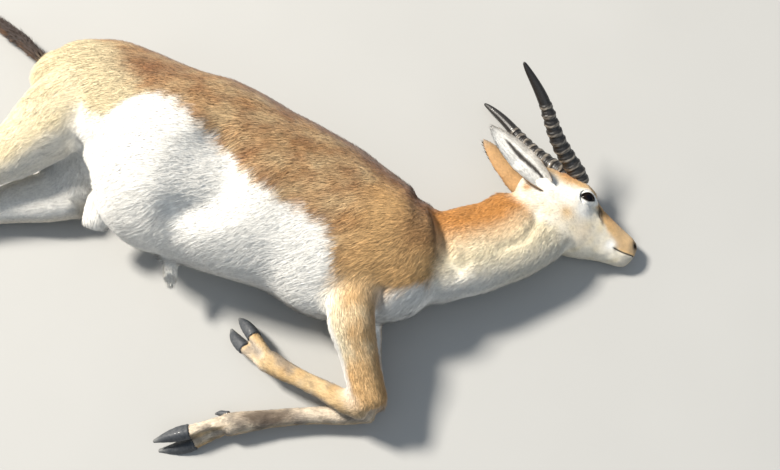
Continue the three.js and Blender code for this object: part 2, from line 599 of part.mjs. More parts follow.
function build() {
  const animal = new THREE.Group();
  animal.position.set(-ORIGIN[0], -ORIGIN[1], 0);
  animal.add(mesh('torso', geometryOf(solid(torsoForm(0))), TAN));

  // Each piece is cut by all that stand before it, a little grown, so that it meets them face
  // to face. form gives the piece's solid, grown by a gap or not.
  let taken = solid(torsoForm(GAP)).add(solid(moved(headForm(GAP), headFrame)));
  const place = (name, material, form) => {
    animal.add(mesh(name, geometryOf(form(0).subtract(taken)), material));
    taken = taken.add(form(GAP));
  };
  place('neck', FAWN, (grow) => solid(neckForm(grow)));
  place('tail', BROWN, (grow) => solid(loft(TAIL, { step: 26, sides: 10 }, { grow, caps: [8, 12] })));
  place('scrotum', WHITE, (grow) => solid(loft(SCROTUM, SMALL, { grow, caps: [8, 14] })));
  place('sheath', WHITE, (grow) => solid(loft(SHEATH, SMALL, { grow, caps: [6, 5] })));
  for (const [name, leg] of Object.entries(LEGS)) {
    place(`${name}_upper`, FAWN, (grow) => solid(legForm(leg.upper, grow)));
    if (leg.gaskin) place(`${name}_gaskin`, FAWN, (grow) => solid(legForm(leg.gaskin, grow)));
    place(`${name}_cannon`, FAWN, (grow) => solid(legForm(leg.cannon, grow))
      .add(solid(pasternForm(leg.foot, 1, grow))).add(solid(pasternForm(leg.foot, -1, grow))));
    for (const [n, toe] of [[1, 'upper'], [-1, 'under']]) {
      place(`${name}_hoof_${toe}`, HOOF, (grow) => solid(hoofForm(leg.foot, n, grow)));
      place(`${name}_dewclaw_${toe}`, HOOF, (grow) => solid(dewClawForm(leg.foot, n, grow)));
    }
  }

  const head = new THREE.Group();
  head.position.set(...HEAD_AT);
  head.rotation.set(...HEAD_TURN.map(THREE.MathUtils.degToRad), 'ZYX');
  animal.add(head);
  const skull = solid(onGround(geometryOf(headSolid()), headFrame));
  head.add(mesh('head', geometryOf(skull), FAWN));
  const grownSkull = solid(headForm(GAP));
  const grownNeck = solid(moved(neckForm(GAP), headFrame.clone().invert()));
  for (const [side, name] of [[1, 'right'], [-1, 'left']]) {
    const frame = earFrame(EAR_ROOT, EAR_TIP[name], EAR_OPENING, side);
    const boss = solid(hornBoss(side, GAP));
    const horn = solid(hornForm(side)).subtract(grownSkull).subtract(boss);
    head.add(mesh(`horn_${name}`, geometryOf(horn), HORN_FINISH));
    head.add(mesh(`eye_${name}`, eyeForm(side), EYE));
    const ear = solid(onGround(earForm(frame), headFrame)).subtract(grownSkull).subtract(boss)
      .subtract(grownNeck);
    head.add(mesh(`ear_${name}`, geometryOf(ear), side > 0 ? WHITE : FAWN));
  }
  return animal;
}

export default build();
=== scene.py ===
import bmesh
import bpy
import numpy as np
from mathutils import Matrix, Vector


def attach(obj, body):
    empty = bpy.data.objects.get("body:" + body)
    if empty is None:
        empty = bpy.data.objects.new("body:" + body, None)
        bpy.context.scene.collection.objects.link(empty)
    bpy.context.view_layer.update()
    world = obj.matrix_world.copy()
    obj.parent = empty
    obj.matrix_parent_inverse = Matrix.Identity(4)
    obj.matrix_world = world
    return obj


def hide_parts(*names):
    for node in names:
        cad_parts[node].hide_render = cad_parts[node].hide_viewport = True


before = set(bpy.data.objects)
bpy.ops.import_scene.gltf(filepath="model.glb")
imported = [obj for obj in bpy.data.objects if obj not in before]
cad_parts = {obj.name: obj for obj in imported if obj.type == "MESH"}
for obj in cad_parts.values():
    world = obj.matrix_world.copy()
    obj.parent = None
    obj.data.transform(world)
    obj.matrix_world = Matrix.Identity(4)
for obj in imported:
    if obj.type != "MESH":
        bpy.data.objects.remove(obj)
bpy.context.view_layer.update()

# The flesh of the body: trunk, neck, tail and four legs, as rounded forms along curved lines.
# A young male blackbuck lies on its left side, muscle and belly slack under a thin skin.
# Each form is a grid of rings round its line, in millimetres, with the head to +X. Its rows are
# x, y, z and the half sizes to the front, back, top and bottom. ORIGIN is the frame's own zero.
ORIGIN = np.array([-339.38, 94.34, 0.0])
CAP_STEPS = np.radians([15, 30, 45, 60, 75])


def curve(rows, t):
    """Catmull-Rom curve through the rows, and its slope, at t from 0 to 1: each span is the cubic
    through its two ends whose slope there is half the step between the neighbours."""
    rows = np.asarray(rows, float)
    padded = np.vstack([2 * rows[0] - rows[1], rows, 2 * rows[-1] - rows[-2]])
    place = np.clip(t, 0, 1) * (len(rows) - 1)
    k = np.minimum(place.astype(int), len(rows) - 2)
    u = (place - k)[:, None]
    a, b, c, d = (padded[k + j] for j in range(4))
    rise, turn, bend = c - a, 2 * a - 5 * b + 4 * c - d, 3 * b - a - 3 * c + d
    value = b + 0.5 * (rise * u + turn * u**2 + bend * u**3)
    slope = 0.5 * (rise + 2 * turn * u + 3 * bend * u**2)
    return value, slope


def smooth(low, high, x):
    """0 below low, 1 above high, and the S-curve 3x2 - 2x3 between them."""
    x = np.clip((x - low) / (high - low), 0, 1)
    return x * x * (3 - 2 * x)


def unit(v):
    """Each vector divided by its length."""
    return v / np.maximum(np.linalg.norm(v, axis=-1, keepdims=True), 1e-9)


def rounded_form(rows, step, sides, caps, depth, square=2.1, roll=0.0):
    """A ring at each t: centre + front * reach * cos^(2/n) + side * height * sin^(2/n), where n is
    the squareness, the side axis is upright and turned by roll, and reach and height are the half
    sizes less the coat's depth. Both ends close as half ellipsoids of the caps' lengths."""
    rows = np.array([r if len(r) > 7 else (*r, square, square, roll) for r in rows], float)
    hops = np.linalg.norm(np.diff(rows[:, :3], axis=0), axis=1)
    parts = np.maximum(1, np.round(hops / step)).astype(int)
    t = np.concatenate([(k + np.arange(n) / n) / len(hops) for k, n in enumerate(parts)] + [[1.0]])
    ends = len(CAP_STEPS)
    lift = np.concatenate([-(caps[0] - depth) * np.sin(CAP_STEPS[::-1]), np.zeros(len(t)),
                           (caps[1] - depth) * np.sin(CAP_STEPS)])
    scale = np.concatenate([np.cos(CAP_STEPS[::-1]), np.ones(len(t)), np.cos(CAP_STEPS)])
    t = np.concatenate([np.zeros(ends), t, np.ones(ends)])
    value, slope = curve(rows, t)
    along = unit(slope[:, :3])
    side = unit(np.array([0, 0, 1.0]) - along * along[:, 2:3])
    turn = np.radians(value[:, 9:10])
    side = side * np.cos(turn) + np.cross(along, side) * np.sin(turn)
    front = np.cross(side, along)
    angle = np.arange(sides) / sides * 2 * np.pi
    c, s = np.cos(angle), np.sin(angle)
    power = 2 / np.where(c > 0, value[:, 7:8], value[:, 8:9])
    reach = (np.where(c > 0, value[:, 3:4], value[:, 4:5]) - depth) * scale[:, None]
    height = (np.where(s > 0, value[:, 5:6], value[:, 6:7]) - depth) * scale[:, None]
    across = reach * np.sign(c) * np.abs(c) ** power
    upward = height * np.sign(s) * np.abs(s) ** power
    centre = value[:, :3] + along * lift[:, None]
    points = centre[:, None] + front[:, None] * across[..., None] + side[:, None] * upward[..., None]
    poles = [centre[0] - along[0] * (caps[0] - depth) * (1 - np.sin(CAP_STEPS[-1])),
             centre[-1] + along[-1] * (caps[1] - depth) * (1 - np.sin(CAP_STEPS[-1]))]
    return points, np.array(poles), along, t, angle


def closed_faces(rings, sides, start):
    """Triangles that join each ring to the next, and the end rings to their poles, facing out."""
    i, j = np.meshgrid(np.arange(rings - 1), np.arange(sides), indexing="ij")
    a, b = start + i * sides + j, start + i * sides + (j + 1) % sides
    c, d = a + sides, b + sides
    tris = np.stack([np.stack([a, b, c], -1), np.stack([b, d, c], -1)]).reshape(-1, 3)
    j = np.arange(sides)
    first, last = start + j, start + (rings - 1) * sides + j
    pole = start + rings * sides
    low = np.stack([np.full(sides, pole), np.roll(first, -1), first], -1)
    high = np.stack([np.full(sides, pole + 1), last, np.roll(last, -1)], -1)
    return np.vstack([tris, low, high])


TRUNK = [
    (-666, 342, 66, 43, 40, 50, 56), (-630, 330, 78, 74, 76, 72, 76), (-565, 305, 88, 117, 92, 84, 88),
    (-439, 214, 112, 134, 147, 112, 116), (-362, 152, 122, 163, 195, 124, 128),
    (-263, 89, 118, 167, 172, 122, 124), (-155, 43, 106, 157, 158, 108, 110),
    (-68, 3, 95, 141, 165, 96, 98), (12, -26, 86, 117, 134, 82, 87), (66, -32, 80, 94, 100, 66, 74)]
NECK = [
    (20, -30, 82, 96, 96, 58, 62), (93, -31, 76, 86, 84, 56, 60), (189, -4, 68, 86, 79, 48, 50),
    (246, 28, 65, 84, 80, 44, 46), (292, 62, 62, 50, 76, 31, 36)]
TAIL = [
    (-656, 362, 66, 14, 14, 13, 13), (-687, 394, 64, 13, 13, 12, 12), (-725, 434, 50, 14, 14, 12, 12),
    (-760, 470, 36, 15, 15, 12, 12), (-809, 514, 20, 14, 14, 10, 10), (-846, 546, 11, 7, 7, 6, 6)]
SCROTUM = [(-500, 96, 112, 18, 20, 18, 18), (-518, 66, 104, 25, 27, 22, 24), (-527, 29, 89, 26, 28, 23, 24)]
SHEATH = [(-384, -22, 92, 19, 21, 19, 19), (-386, -54, 82, 15, 16, 14, 14), (-387, -77, 76, 8, 8, 8, 8)]
LEGS = {
    "foreleg_right": {
        "upper": [
            (-46, -56, 112, 56, 52, 48, 40), (-66, -114, 120, 52, 47, 44, 36),
            (-68, -150, 125, 47, 42, 38, 34), (-64, -180, 124, 42, 39, 34, 32),
            (-52, -222, 108, 35, 34, 28, 28), (-42, -262, 92, 33, 33, 26, 26),
            (-34, -294, 80, 32, 32, 26, 26)],
        "cannon": [
            (-44, -300, 72, 25, 20, 23, 22), (-78, -288, 66, 24, 21, 21, 21),
            (-112, -270, 60, 20, 19, 17, 17), (-150, -250, 54, 18, 18, 15, 15),
            (-184, -232, 49, 20, 20, 17, 17), (-207, -217, 45, 22, 22, 20, 20)],
        "foot": ((-213, -216, 45), (-0.64, 0.72, -0.27), 64, 1.0)},
    "foreleg_left": {
        "upper": [
            (-40, -70, 52, 50, 44, 34, 40), (-50, -130, 44, 42, 40, 30, 36), (-48, -180, 38, 35, 35, 26, 32),
            (-42, -226, 34, 30, 30, 24, 28), (-34, -262, 31, 28, 28, 22, 26),
            (-32, -288, 29, 28, 28, 22, 26)],
        "cannon": [
            (-36, -298, 28, 22, 20, 20, 22), (-76, -304, 27, 19, 19, 18, 20),
            (-138, -306, 25, 16, 17, 15, 17), (-205, -311, 24, 17, 18, 15, 17),
            (-246, -316, 24, 20, 20, 18, 20), (-274, -320, 24, 22, 22, 19, 20)],
        "foot": ((-280, -321, 24), (-0.94, -0.33, -0.08), 34, 1.12)},
    "hindleg_right": {
        "upper": [
            (-560, 262, 118, 84, 92, 66, 40), (-590, 232, 128, 76, 92, 62, 40),
            (-629, 197, 128, 66, 82, 52, 42), (-669, 168, 120, 56, 65, 44, 42),
            (-706, 145, 112, 49, 52, 38, 38)],
        "gaskin": [
            (-706, 145, 112, 46, 50, 36, 36), (-755, 125, 100, 39, 46, 32, 32),
            (-814, 96, 84, 28, 32, 24, 24), (-868, 62, 66, 22, 26, 19, 19), (-898, 40, 54, 25, 27, 20, 20)],
        "cannon": [
            (-900, 38, 52, 24, 24, 19, 19), (-934, 4, 46, 20, 21, 17, 17), (-976, -44, 40, 17, 17, 15, 15),
            (-1014, -90, 34, 18, 18, 16, 16), (-1034, -116, 31, 21, 21, 19, 19)],
        "foot": ((-1037, -120, 30), (-0.82, -0.55, -0.12), 30, 1.0)},
    "hindleg_left": {
        "upper": [
            (-572, 240, 52, 78, 90, 44, 52), (-584, 180, 50, 76, 84, 40, 52), (-590, 130, 46, 58, 66, 38, 48),
            (-592, 106, 44, 50, 52, 36, 46)],
        "gaskin": [
            (-590, 114, 42, 52, 58, 36, 44), (-646, 104, 40, 50, 56, 34, 42), (-710, 92, 36, 38, 46, 28, 38),
            (-776, 76, 30, 25, 28, 23, 30), (-826, 62, 28, 25, 27, 21, 28)],
        "cannon": [
            (-828, 60, 26, 24, 24, 20, 26), (-862, 22, 24, 20, 21, 17, 22), (-900, -30, 22, 17, 17, 15, 20),
            (-936, -80, 22, 18, 18, 16, 20), (-952, -108, 22, 21, 21, 19, 21)],
        "foot": ((-954, -112, 22), (-0.72, -0.69, -0.06), 26, 1.0)}}
TOE = {"pastern": 56, "hoof": 54, "spread": 13.5, "radius": 12.5}


def foot_frame(foot):
    """The foot's own axes: along its heading, the side that parts the toes, and the front."""
    along = unit(np.array(foot[1]))
    side = unit(np.array([0, 0, 1.0]) - along * along[2])
    roll = np.radians(foot[2])
    side = side * np.cos(roll) + np.cross(along, side) * np.sin(roll)
    return np.array(foot[0], float), along, side, np.cross(side, along)


def foot_rows(foot, rows):
    """Rows of distance along the foot, towards its front and side, and half sizes, as stations."""
    origin, along, side, front = foot_frame(foot)
    placed = [origin + along * r[0] + front * r[1] + side * r[2] for r in rows]
    return [(*p, *r[3:7], r[7] if len(r) > 7 else 2.1, r[7] if len(r) > 7 else 2.1, foot[2])
            for p, r in zip(placed, rows)]


def pastern_rows(foot, n):
    """The length of toe n above its hoof; n is 1 for the upper toe and -1 for the under one."""
    r, end = TOE["radius"], TOE["pastern"] * foot[3]
    return foot_rows(foot, [
        (-6, 0, n * 7, r + 3, r + 3, r, r), (18, -1, n * 10, r, r, r - 2, r - 2),
        (end, 0, n * TOE["spread"], r + 1, r + 2, r - 1, r - 1)])


# The head in its own frame: x from the back of the skull to the nose, y up through the
# forehead, z to the right. Each row of the profile is x, top, bottom, half width and the
# squareness above and below. Brow, cheek, gland, lips and chin are soft swellings.
HEAD_AT = np.array([262.9, 107.5, 68.0])
HEAD_TURN = np.radians([5, 13, -28])
PROFILE = [
    (-8, 34, -66, 36, 2.2, 2.2), (14, 52, -80, 44, 2.3, 2.3), (40, 55, -86, 47, 2.3, 2.4),
    (66, 61, -87, 48, 2.3, 2.5), (88, 57, -85, 47, 2.4, 2.6), (108, 46, -80, 42, 2.4, 2.8),
    (130, 38, -72, 35, 2.4, 2.9), (150, 32, -63, 29, 2.4, 3), (172, 26, -55, 25, 2.4, 3),
    (192, 21, -50, 22.5, 2.4, 3), (208, 16, -47, 20.5, 2.4, 2.8), (218, 10, -43, 17, 2.4, 2.6)]
MOUTH = {"corner": (180, -27), "end": (232, -14)}
EYE_AT = np.array([91, 22, 33.0])
EYE_RADIUS = 16
HORN_AT = np.array([56, 61, 20.0])
NOSTRIL_AT = np.array([217, 1, 14.5])


def turned(angles):
    """The rotation that turns about x, then y, then z."""
    (a, b, c), (d, e, f) = np.cos(angles), np.sin(angles)
    about_x = np.array([[1, 0, 0], [0, a, -d], [0, d, a]])
    about_y = np.array([[b, 0, e], [0, 1, 0], [-e, 0, b]])
    about_z = np.array([[c, -f, 0], [f, c, 0], [0, 0, 1]])
    return about_z @ about_y @ about_x


HEAD_AXES = turned(HEAD_TURN)


def from_head(points):
    """Places in the head's own frame, carried to the body's."""
    return points @ HEAD_AXES.T + HEAD_AT


def to_head(points):
    """Places in the body's frame, carried to the head's own."""
    return (points - HEAD_AT) @ HEAD_AXES


def mirrored(points):
    """The same places on the right side of the head: z is taken without its sign."""
    return points * [1, 1, 0] + np.abs(points) * [0, 0, 1]


def near(points, at, reach):
    """1 at a place and its mirror place on the other side of the head, falling as exp(-d2/r2)."""
    gap = (mirrored(points) - np.array(at, float)) / reach
    return np.exp(-np.sum(gap * gap, axis=-1))


def lip_height(x):
    """The lip line's height at x: a straight rise from the corner to the end, bowed down by 3."""
    along = (x - MOUTH["corner"][0]) / (MOUTH["end"][0] - MOUTH["corner"][0])
    rise = MOUTH["end"][1] - MOUTH["corner"][1]
    return MOUTH["corner"][1] + rise * along - 3 * np.sin(np.pi * np.clip(along, 0, 1))


def head_relief(p):
    """How far the head stands out at a point: a sum of swellings and hollows."""
    out = 5 * near(p, (88, 40, 38), 20) + 4 * near(p, (52, -34, 44), 30) - 5 * near(p, (122, 12, 36), 16)
    out += 3 * near(p, (70, 12, 46), 18) - 4 * near(p, (112, 26, 36), 11) + 3 * near(p, (206, 4, 18), 11)
    away = p[..., 1] - lip_height(p[..., 0])
    lips = 1.6 * np.exp(-((np.abs(away) - 4) ** 2) / 12) - 1.5 * np.exp(-((away + 14) ** 2) / 30)
    return out + lips * (p[..., 0] > 176)


HEAD = [(x, (top + low) / 2, 0, (top - low) / 2, (top - low) / 2, half, half, square, jaw, 0)
        for x, top, low, half, square, jaw in PROFILE]

# All the forms together. Each keeps the way its hair lies: backwards from the nose to the
# rump and down to the belly, and down the legs to the hooves. TRUNK_SWELL lists where muscle or
# gut stands out or sinks in, as x, y, z, reach and height. The skin lies COAT_DEPTH below the
# coat's surface.
TRUNK_SWELL = [
    (-408, 68, 242, 105, 27), (-308, 64, 240, 64, -27), (-470, 150, 200, 60, 8), (-40, -10, 180, 90, 12)]
forms = {key: [] for key in ("points", "tris", "lie", "kind", "t", "angle", "side", "form", "pole")}
KINDS = ["trunk", "neck", "head", "tail", "scrotum", "sheath", "foreleg_upper", "foreleg_cannon",
         "hindleg_upper", "hindleg_gaskin", "hindleg_cannon"]
COAT_DEPTH = {"trunk": 3.5, "neck": 3.0, "head": 1.5, "tail": 5.0, "scrotum": 3.0, "sheath": 3.0,
              "upper": 3.0, "gaskin": 3.0, "cannon": 2.5, "pastern": 2.0}
form_count = 0


def add_form(kind, rows, step, sides, caps, depth, towards, droop=0.0, outer=1):
    """Adds a form's grid and the lie of its hair: towards is 1 along the form and -1 back along
    it, droop turns the lie towards the belly side, and outer is -1 where the outside is below."""
    global form_count
    points, poles, along, t, angle = rounded_form(rows, step, sides, caps, depth)
    middle = points.mean(axis=1, keepdims=True)
    out = unit(points - middle)
    if kind == "trunk":
        for x, y, z, reach, height in TRUNK_SWELL:
            away = np.linalg.norm(points - [x, y, z], axis=-1, keepdims=True) / reach
            points = points + out * height * np.exp(-away * away)
    if kind == "head":
        points = points + out * head_relief(points)[..., None]
    around = unit(np.roll(points, -1, axis=1) - np.roll(points, 1, axis=1))
    belly = np.where(angle < np.pi, 1.0, -1.0)[None, :, None]
    lie = unit(towards * along[:, None] + droop * belly * around)
    if kind == "head":
        points, poles = from_head(points), from_head(poles)
        lie = lie @ HEAD_AXES.T
    rings = len(t)
    forms["tris"].append(closed_faces(rings, sides, form_count))
    forms["points"].append(np.vstack([points.reshape(-1, 3), poles]))
    forms["lie"].append(np.vstack([lie.reshape(-1, 3), lie[0, :1], lie[-1, :1]]))
    forms["kind"].append(np.full(rings * sides + 2, KINDS.index(kind)))
    forms["t"].append(np.append(np.repeat(t, sides), [0, 1]))
    forms["angle"].append(np.append(np.tile(angle, rings), [0, 0]))
    forms["side"].append(np.full(rings * sides + 2, outer))
    forms["form"].append(np.full(rings * sides + 2, len(forms["side"]) - 1))
    forms["pole"].append(np.arange(rings * sides + 2) >= rings * sides)
    form_count += rings * sides + 2


add_form("trunk", TRUNK, 12, 80, (20, 26), COAT_DEPTH["trunk"], -1, 1.0)
add_form("neck", NECK, 12, 56, (20, 16), COAT_DEPTH["neck"], -1, 0.35)
add_form("head", HEAD, 4, 64, (18, 9), COAT_DEPTH["head"], -1, 0.1)
add_form("tail", TAIL, 8, 20, (8, 12), COAT_DEPTH["tail"], 1)
add_form("scrotum", SCROTUM, 8, 24, (8, 14), COAT_DEPTH["scrotum"], 1)
add_form("sheath", SHEATH, 8, 20, (6, 5), COAT_DEPTH["sheath"], 1)
for leg_name, leg in LEGS.items():
    limb, which = leg_name.split("_")
    outer = 1 if which == "right" else -1
    for part in ("upper", "gaskin", "cannon"):
        if part in leg:
            add_form(f"{limb}_{part}", leg[part], 9, 32, (14, 14), COAT_DEPTH[part], 1, outer=outer)
    for toe in (1, -1):
        rows = pastern_rows(leg["foot"], toe)
        add_form(f"{limb}_cannon", rows, 8, 24, (8, 5), COAT_DEPTH["pastern"], 1, outer=outer)
flesh = {key: np.concatenate(value) for key, value in forms.items()}


# The skin, one closed sheet over all the flesh. The forms are joined by a fine remesh, creases
# where they meet are eased, and the head is divided finer for its lids, lips and nostrils.
SKIN_VOXEL = 0.0054
SKIN_LOWEST = 1.0


def new_mesh(name, points, faces):
    """A mesh in metres, from arrays of points in millimetres and of triangles or quads."""
    points = (np.asarray(points, float) - ORIGIN) * 0.001
    mesh = bpy.data.meshes.new(name)
    mesh.vertices.add(len(points))
    mesh.vertices.foreach_set("co", points.astype(np.float32).ravel())
    mesh.loops.add(faces.size)
    mesh.loops.foreach_set("vertex_index", faces.astype(np.int32).ravel())
    mesh.polygons.add(len(faces))
    mesh.polygons.foreach_set("loop_start", np.arange(0, faces.size, faces.shape[1], dtype=np.int32))
    mesh.update(calc_edges=True)
    mesh.validate()
    return mesh


def new_piece(name, mesh, *nodes, slot):
    """A piece that rides on the one body and replaces the nodes. The slot is not used."""
    mesh.polygons.foreach_set("use_smooth", np.ones(len(mesh.polygons), bool))
    piece = bpy.data.objects.new(name, mesh)
    bpy.context.scene.collection.objects.link(piece)
    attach(piece, "root")
    if nodes:
        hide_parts(*nodes)
    return piece


def read_points(mesh):
    """The mesh's points, in millimetres."""
    points = np.empty(len(mesh.vertices) * 3, np.float32)
    mesh.vertices.foreach_get("co", points)
    return points.reshape(-1, 3).astype(float) * 1000 + ORIGIN


def write_points(mesh, points):
    """Moves the mesh's points to places in millimetres."""
    mesh.vertices.foreach_set("co", ((points - ORIGIN) * 0.001).astype(np.float32).ravel())
    mesh.update()


def read_edges(mesh):
    """The two points of each edge."""
    edges = np.empty(len(mesh.edges) * 2, np.int32)
    mesh.edges.foreach_get("vertices", edges)
    return edges.reshape(-1, 2)


def read_normals(mesh):
    """The unit normal at each point."""
    normals = np.empty(len(mesh.vertices) * 3, np.float32)
    mesh.vertex_normals.foreach_get("vector", normals)
    return normals.reshape(-1, 3).astype(float)


def eased(values, edges, weight, rounds):
    """Values moved towards the mean of their neighbours, by weight, a number of rounds."""
    count = len(values)
    a, b = edges[:, 0], edges[:, 1]
    share = np.maximum(np.bincount(a, minlength=count) + np.bincount(b, minlength=count), 1)
    for _ in range(rounds):
        mean = np.stack([np.bincount(a, values[b, k], count) + np.bincount(b, values[a, k], count)
                         for k in range(values.shape[1])], -1) / share[:, None]
        values = values + (mean - values) * weight
    return values


def by_cube(points, grid, cube=50.0):
    """Pairs of index lists, cube by cube: the points in one cube of space, and the grid's points
    in that cube and its neighbours, which are all that can lie nearest."""
    cell, home = np.floor(points / cube).astype(int), np.floor(grid / cube).astype(int)
    cells, number = np.unique(cell, axis=0, return_inverse=True)
    order = np.argsort(number.ravel(), kind="stable")
    mine = np.split(order, np.cumsum(np.bincount(number.ravel()))[:-1])
    return [(m, np.flatnonzero(np.abs(home - here).max(axis=1) < 2)) for m, here in zip(mine, cells)]


def nearest_form(points):
    """Where each point lies on the flesh: the nearest grid point's form and kind, and the place
    along and round that form, as the mean of its near points by weights exp(-d2 / 12 mm2)."""
    grid = flesh["points"]
    count = len(points)
    found = {"nearest": np.zeros(count, int), "t": np.zeros(count), "angle": np.zeros(count)}
    for mine, close in by_cube(points, grid):
        gap = np.sum((points[mine][:, None] - grid[close]) ** 2, axis=2)
        best = close[np.argmin(gap, axis=1)]
        reach = np.sqrt(gap.min(axis=1, keepdims=True)) + 12
        weight = np.exp(-3 * gap / reach**2) * (flesh["form"][close] == flesh["form"][best][:, None])
        weight = weight * ~flesh["pole"][close] + 1e-9
        weight /= weight.sum(axis=1, keepdims=True)
        turn = flesh["angle"][close]
        found["nearest"][mine] = best
        found["t"][mine] = weight @ flesh["t"][close]
        found["angle"][mine] = np.arctan2(weight @ np.sin(turn), weight @ np.cos(turn)) % (2 * np.pi)
    for key in ("kind", "form", "side", "lie"):
        found[key] = flesh[key][found["nearest"]]
    return found


raw = bpy.data.objects.new("flesh", new_mesh("flesh", flesh["points"], flesh["tris"]))
bpy.context.scene.collection.objects.link(raw)
remesh = raw.modifiers.new("join", "REMESH")
remesh.mode = "VOXEL"
remesh.voxel_size = SKIN_VOXEL
joined = raw.evaluated_get(bpy.context.evaluated_depsgraph_get())
skin_mesh = bpy.data.meshes.new_from_object(joined)
bpy.data.objects.remove(raw)

points = read_points(skin_mesh)
edges = read_edges(skin_mesh)
kind = nearest_form(points)["kind"]
TRUNK_K, NECK_K, HEAD_K, TAIL_K = (KINDS.index(k) for k in ("trunk", "neck", "head", "tail"))
UPPER_K = [KINDS.index(k) for k in ("foreleg_upper", "hindleg_upper")]

# Where two kinds of form meet, the crease is eased most, and most of all on trunk and neck. Then
# the whole skin is eased and spread again by turns, which keeps its volume.
soft = np.select([kind < HEAD_K, np.isin(kind, UPPER_K), kind == HEAD_K], [1, 0.8, 0.6], 0.3)
soft = eased(soft[:, None], edges, 0.5, 8)
meeting = np.zeros((len(points), 1))
meeting[edges[kind[edges[:, 0]] != kind[edges[:, 1]]]] = 1
meeting = np.minimum(1, 3 * eased(meeting, edges, 0.8, 10))
points = eased(points, edges, 0.5 * meeting * soft, 18)
for _ in range(5):
    points = eased(points, edges, 0.55 * soft, 1)
    points = eased(points, edges, -0.57 * soft, 1)

# Folds of loose skin: at the front of the shoulder, behind the jaw, across the hollow of the
# paunch, along the thigh's edge, in the flank, behind the paunch, at the elbow, over the loin and at
# the base of the neck. Each is its depth, its width and a line through points.
FOLDS = [
    (10, 15, [(85, 34, 120), (93, 1, 128), (97, -33, 132), (107, -56, 128), (124, -71, 120)]),
    (3.5, 9, [(271, 52, 103), (260, 23, 106), (241, -8, 109), (219, -20, 111), (197, -29, 114)]),
    (15, 30, [(-286, 120, 240), (-262, 88, 230), (-258, 54, 224), (-276, 20, 220), (-300, 2, 218),
              (-345, -14, 214)]),
    (8, 14, [(-490, 145, 224), (-524, 141, 191), (-561, 158, 139)]),
    (3, 12, [(-452, 176, 239), (-466, 169, 235), (-480, 158, 230), (-490, 145, 224)]),
    (3, 13, [(-496, 125, 219), (-501, 101, 209), (-499, 74, 205), (-499, 54, 189), (-489, 35, 186)]),
    (8, 9, [(-10, -121, 146), (-13, -135, 135), (-20, -149, 115)]),
    (2.5, 7, [(-392, 196, 236), (-408, 176, 242), (-418, 150, 248)]),
    (2, 9, [(120, 10, 128), (132, -24, 128), (138, -56, 120)])]


def fold_depth(points):
    """How deep the folds lie at each point: depth times exp(-(distance / width)2), where the
    distance is to the nearest stretch of the fold's line."""
    total = np.zeros(len(points))
    for depth, width, line in FOLDS:
        line = np.array(line, float)
        gap = np.full(len(points), 1e9)
        for start, end in zip(line[:-1], line[1:]):
            span = end - start
            share = np.clip((points - start) @ span / span.dot(span), 0, 1)
            gap = np.minimum(gap, np.linalg.norm(points - start - share[:, None] * span, axis=1))
        total += depth * np.exp(-(gap / width) ** 2)
    return total


def ripple(p, size, seed):
    """A smooth wandering value near -1 to 1: the mean of six sines of waves of about one size."""
    draw = np.random.default_rng(seed)
    waves = unit(draw.normal(size=(6, 3))) * (2 * np.pi / size) * draw.uniform(0.6, 1.6, (6, 1))
    return np.sin(p @ waves.T + draw.uniform(0, 6.3, 6)).mean(axis=1) * 1.6


write_points(skin_mesh, points)
relief = 1.3 * ripple(points, 80, 21) * np.isin(kind, [TRUNK_K, NECK_K]) - fold_depth(points)
points = points + read_normals(skin_mesh) * relief[:, None]
write_points(skin_mesh, points)


def refine(mesh, wanted):
    """Divides every edge whose two ends are wanted, so that the faces there are half as wide."""
    shape = bmesh.new()
    shape.from_mesh(mesh)
    shape.edges.ensure_lookup_table()
    both = np.flatnonzero(wanted[read_edges(mesh)].all(axis=1))
    bmesh.ops.subdivide_edges(shape, edges=[shape.edges[k] for k in both], cuts=1, use_grid_fill=True,
                              smooth=0.6)
    shape.to_mesh(mesh)
    shape.free()
    return read_points(mesh)


# Places on the head where the skin needs more faces: the whole face first, then the muzzle and
# the surrounds of the eyes, and then the lids, lips and nostrils alone.
def around_eye(p, reach):
    """Points within reach of the front of either eyeball."""
    return np.linalg.norm(mirrored(p) - (EYE_AT + [0, 0, 12]), axis=1) < reach


def around_mouth(p, reach):
    """Points of the muzzle within reach of the lip line."""
    return (p[:, 0] > 172) & (np.abs(p[:, 1] - lip_height(p[:, 0])) < reach)


local = to_head(points)
points = refine(skin_mesh, (local[:, 0] > -20) & (np.abs(local[:, 2]) < 70) & (local[:, 1] > -100))
local = to_head(points)
fine = around_eye(local, 34) | (local[:, 0] > 165) | (near(local, (128, 12, 28), 20) > 0.4)
points = refine(skin_mesh, fine)
local = to_head(points)
finest = around_eye(local, 25) | around_mouth(local, 7)
finest |= np.linalg.norm(mirrored(local) - NOSTRIL_AT, axis=1) < 13
points = refine(skin_mesh, finest)
edges = read_edges(skin_mesh)
local = to_head(points)
on_head = smooth(-20, 10, local[:, 0])[:, None]
points = eased(points, edges, 0.3 * on_head, 3)

# The lids: an almond opening on each side, whose margins lie on the eyeball, with a fold above
# and a bag below.
LID = {"half": 13.2, "above": 8.5, "below": 7.4, "tilt": 16, "thick": 1.6, "front": 1.45, "rear": 1.8}


def almond(p):
    """How many almond half sizes a point of the head lies from the eye's middle, 1 on the lids'
    margin, and its height above the almond's axis. The first is (|u|^n + |v|^n)^(1/n) of both
    shares, with n 1.45 in front for a long pointed corner, and 1.8 behind."""
    turn = np.radians(LID["tilt"])
    x, y = p[:, 0] - EYE_AT[0] - 1, p[:, 1] - EYE_AT[1] - 1
    u, v = x * np.cos(turn) + y * np.sin(turn), y * np.cos(turn) - x * np.sin(turn)
    high = np.where(v > 0, LID["above"], LID["below"])
    power = LID["rear"] + (LID["front"] - LID["rear"]) * smooth(-6, 6, u)
    return (np.abs(u / LID["half"]) ** power + np.abs(v / high) ** power) ** (1 / power), v


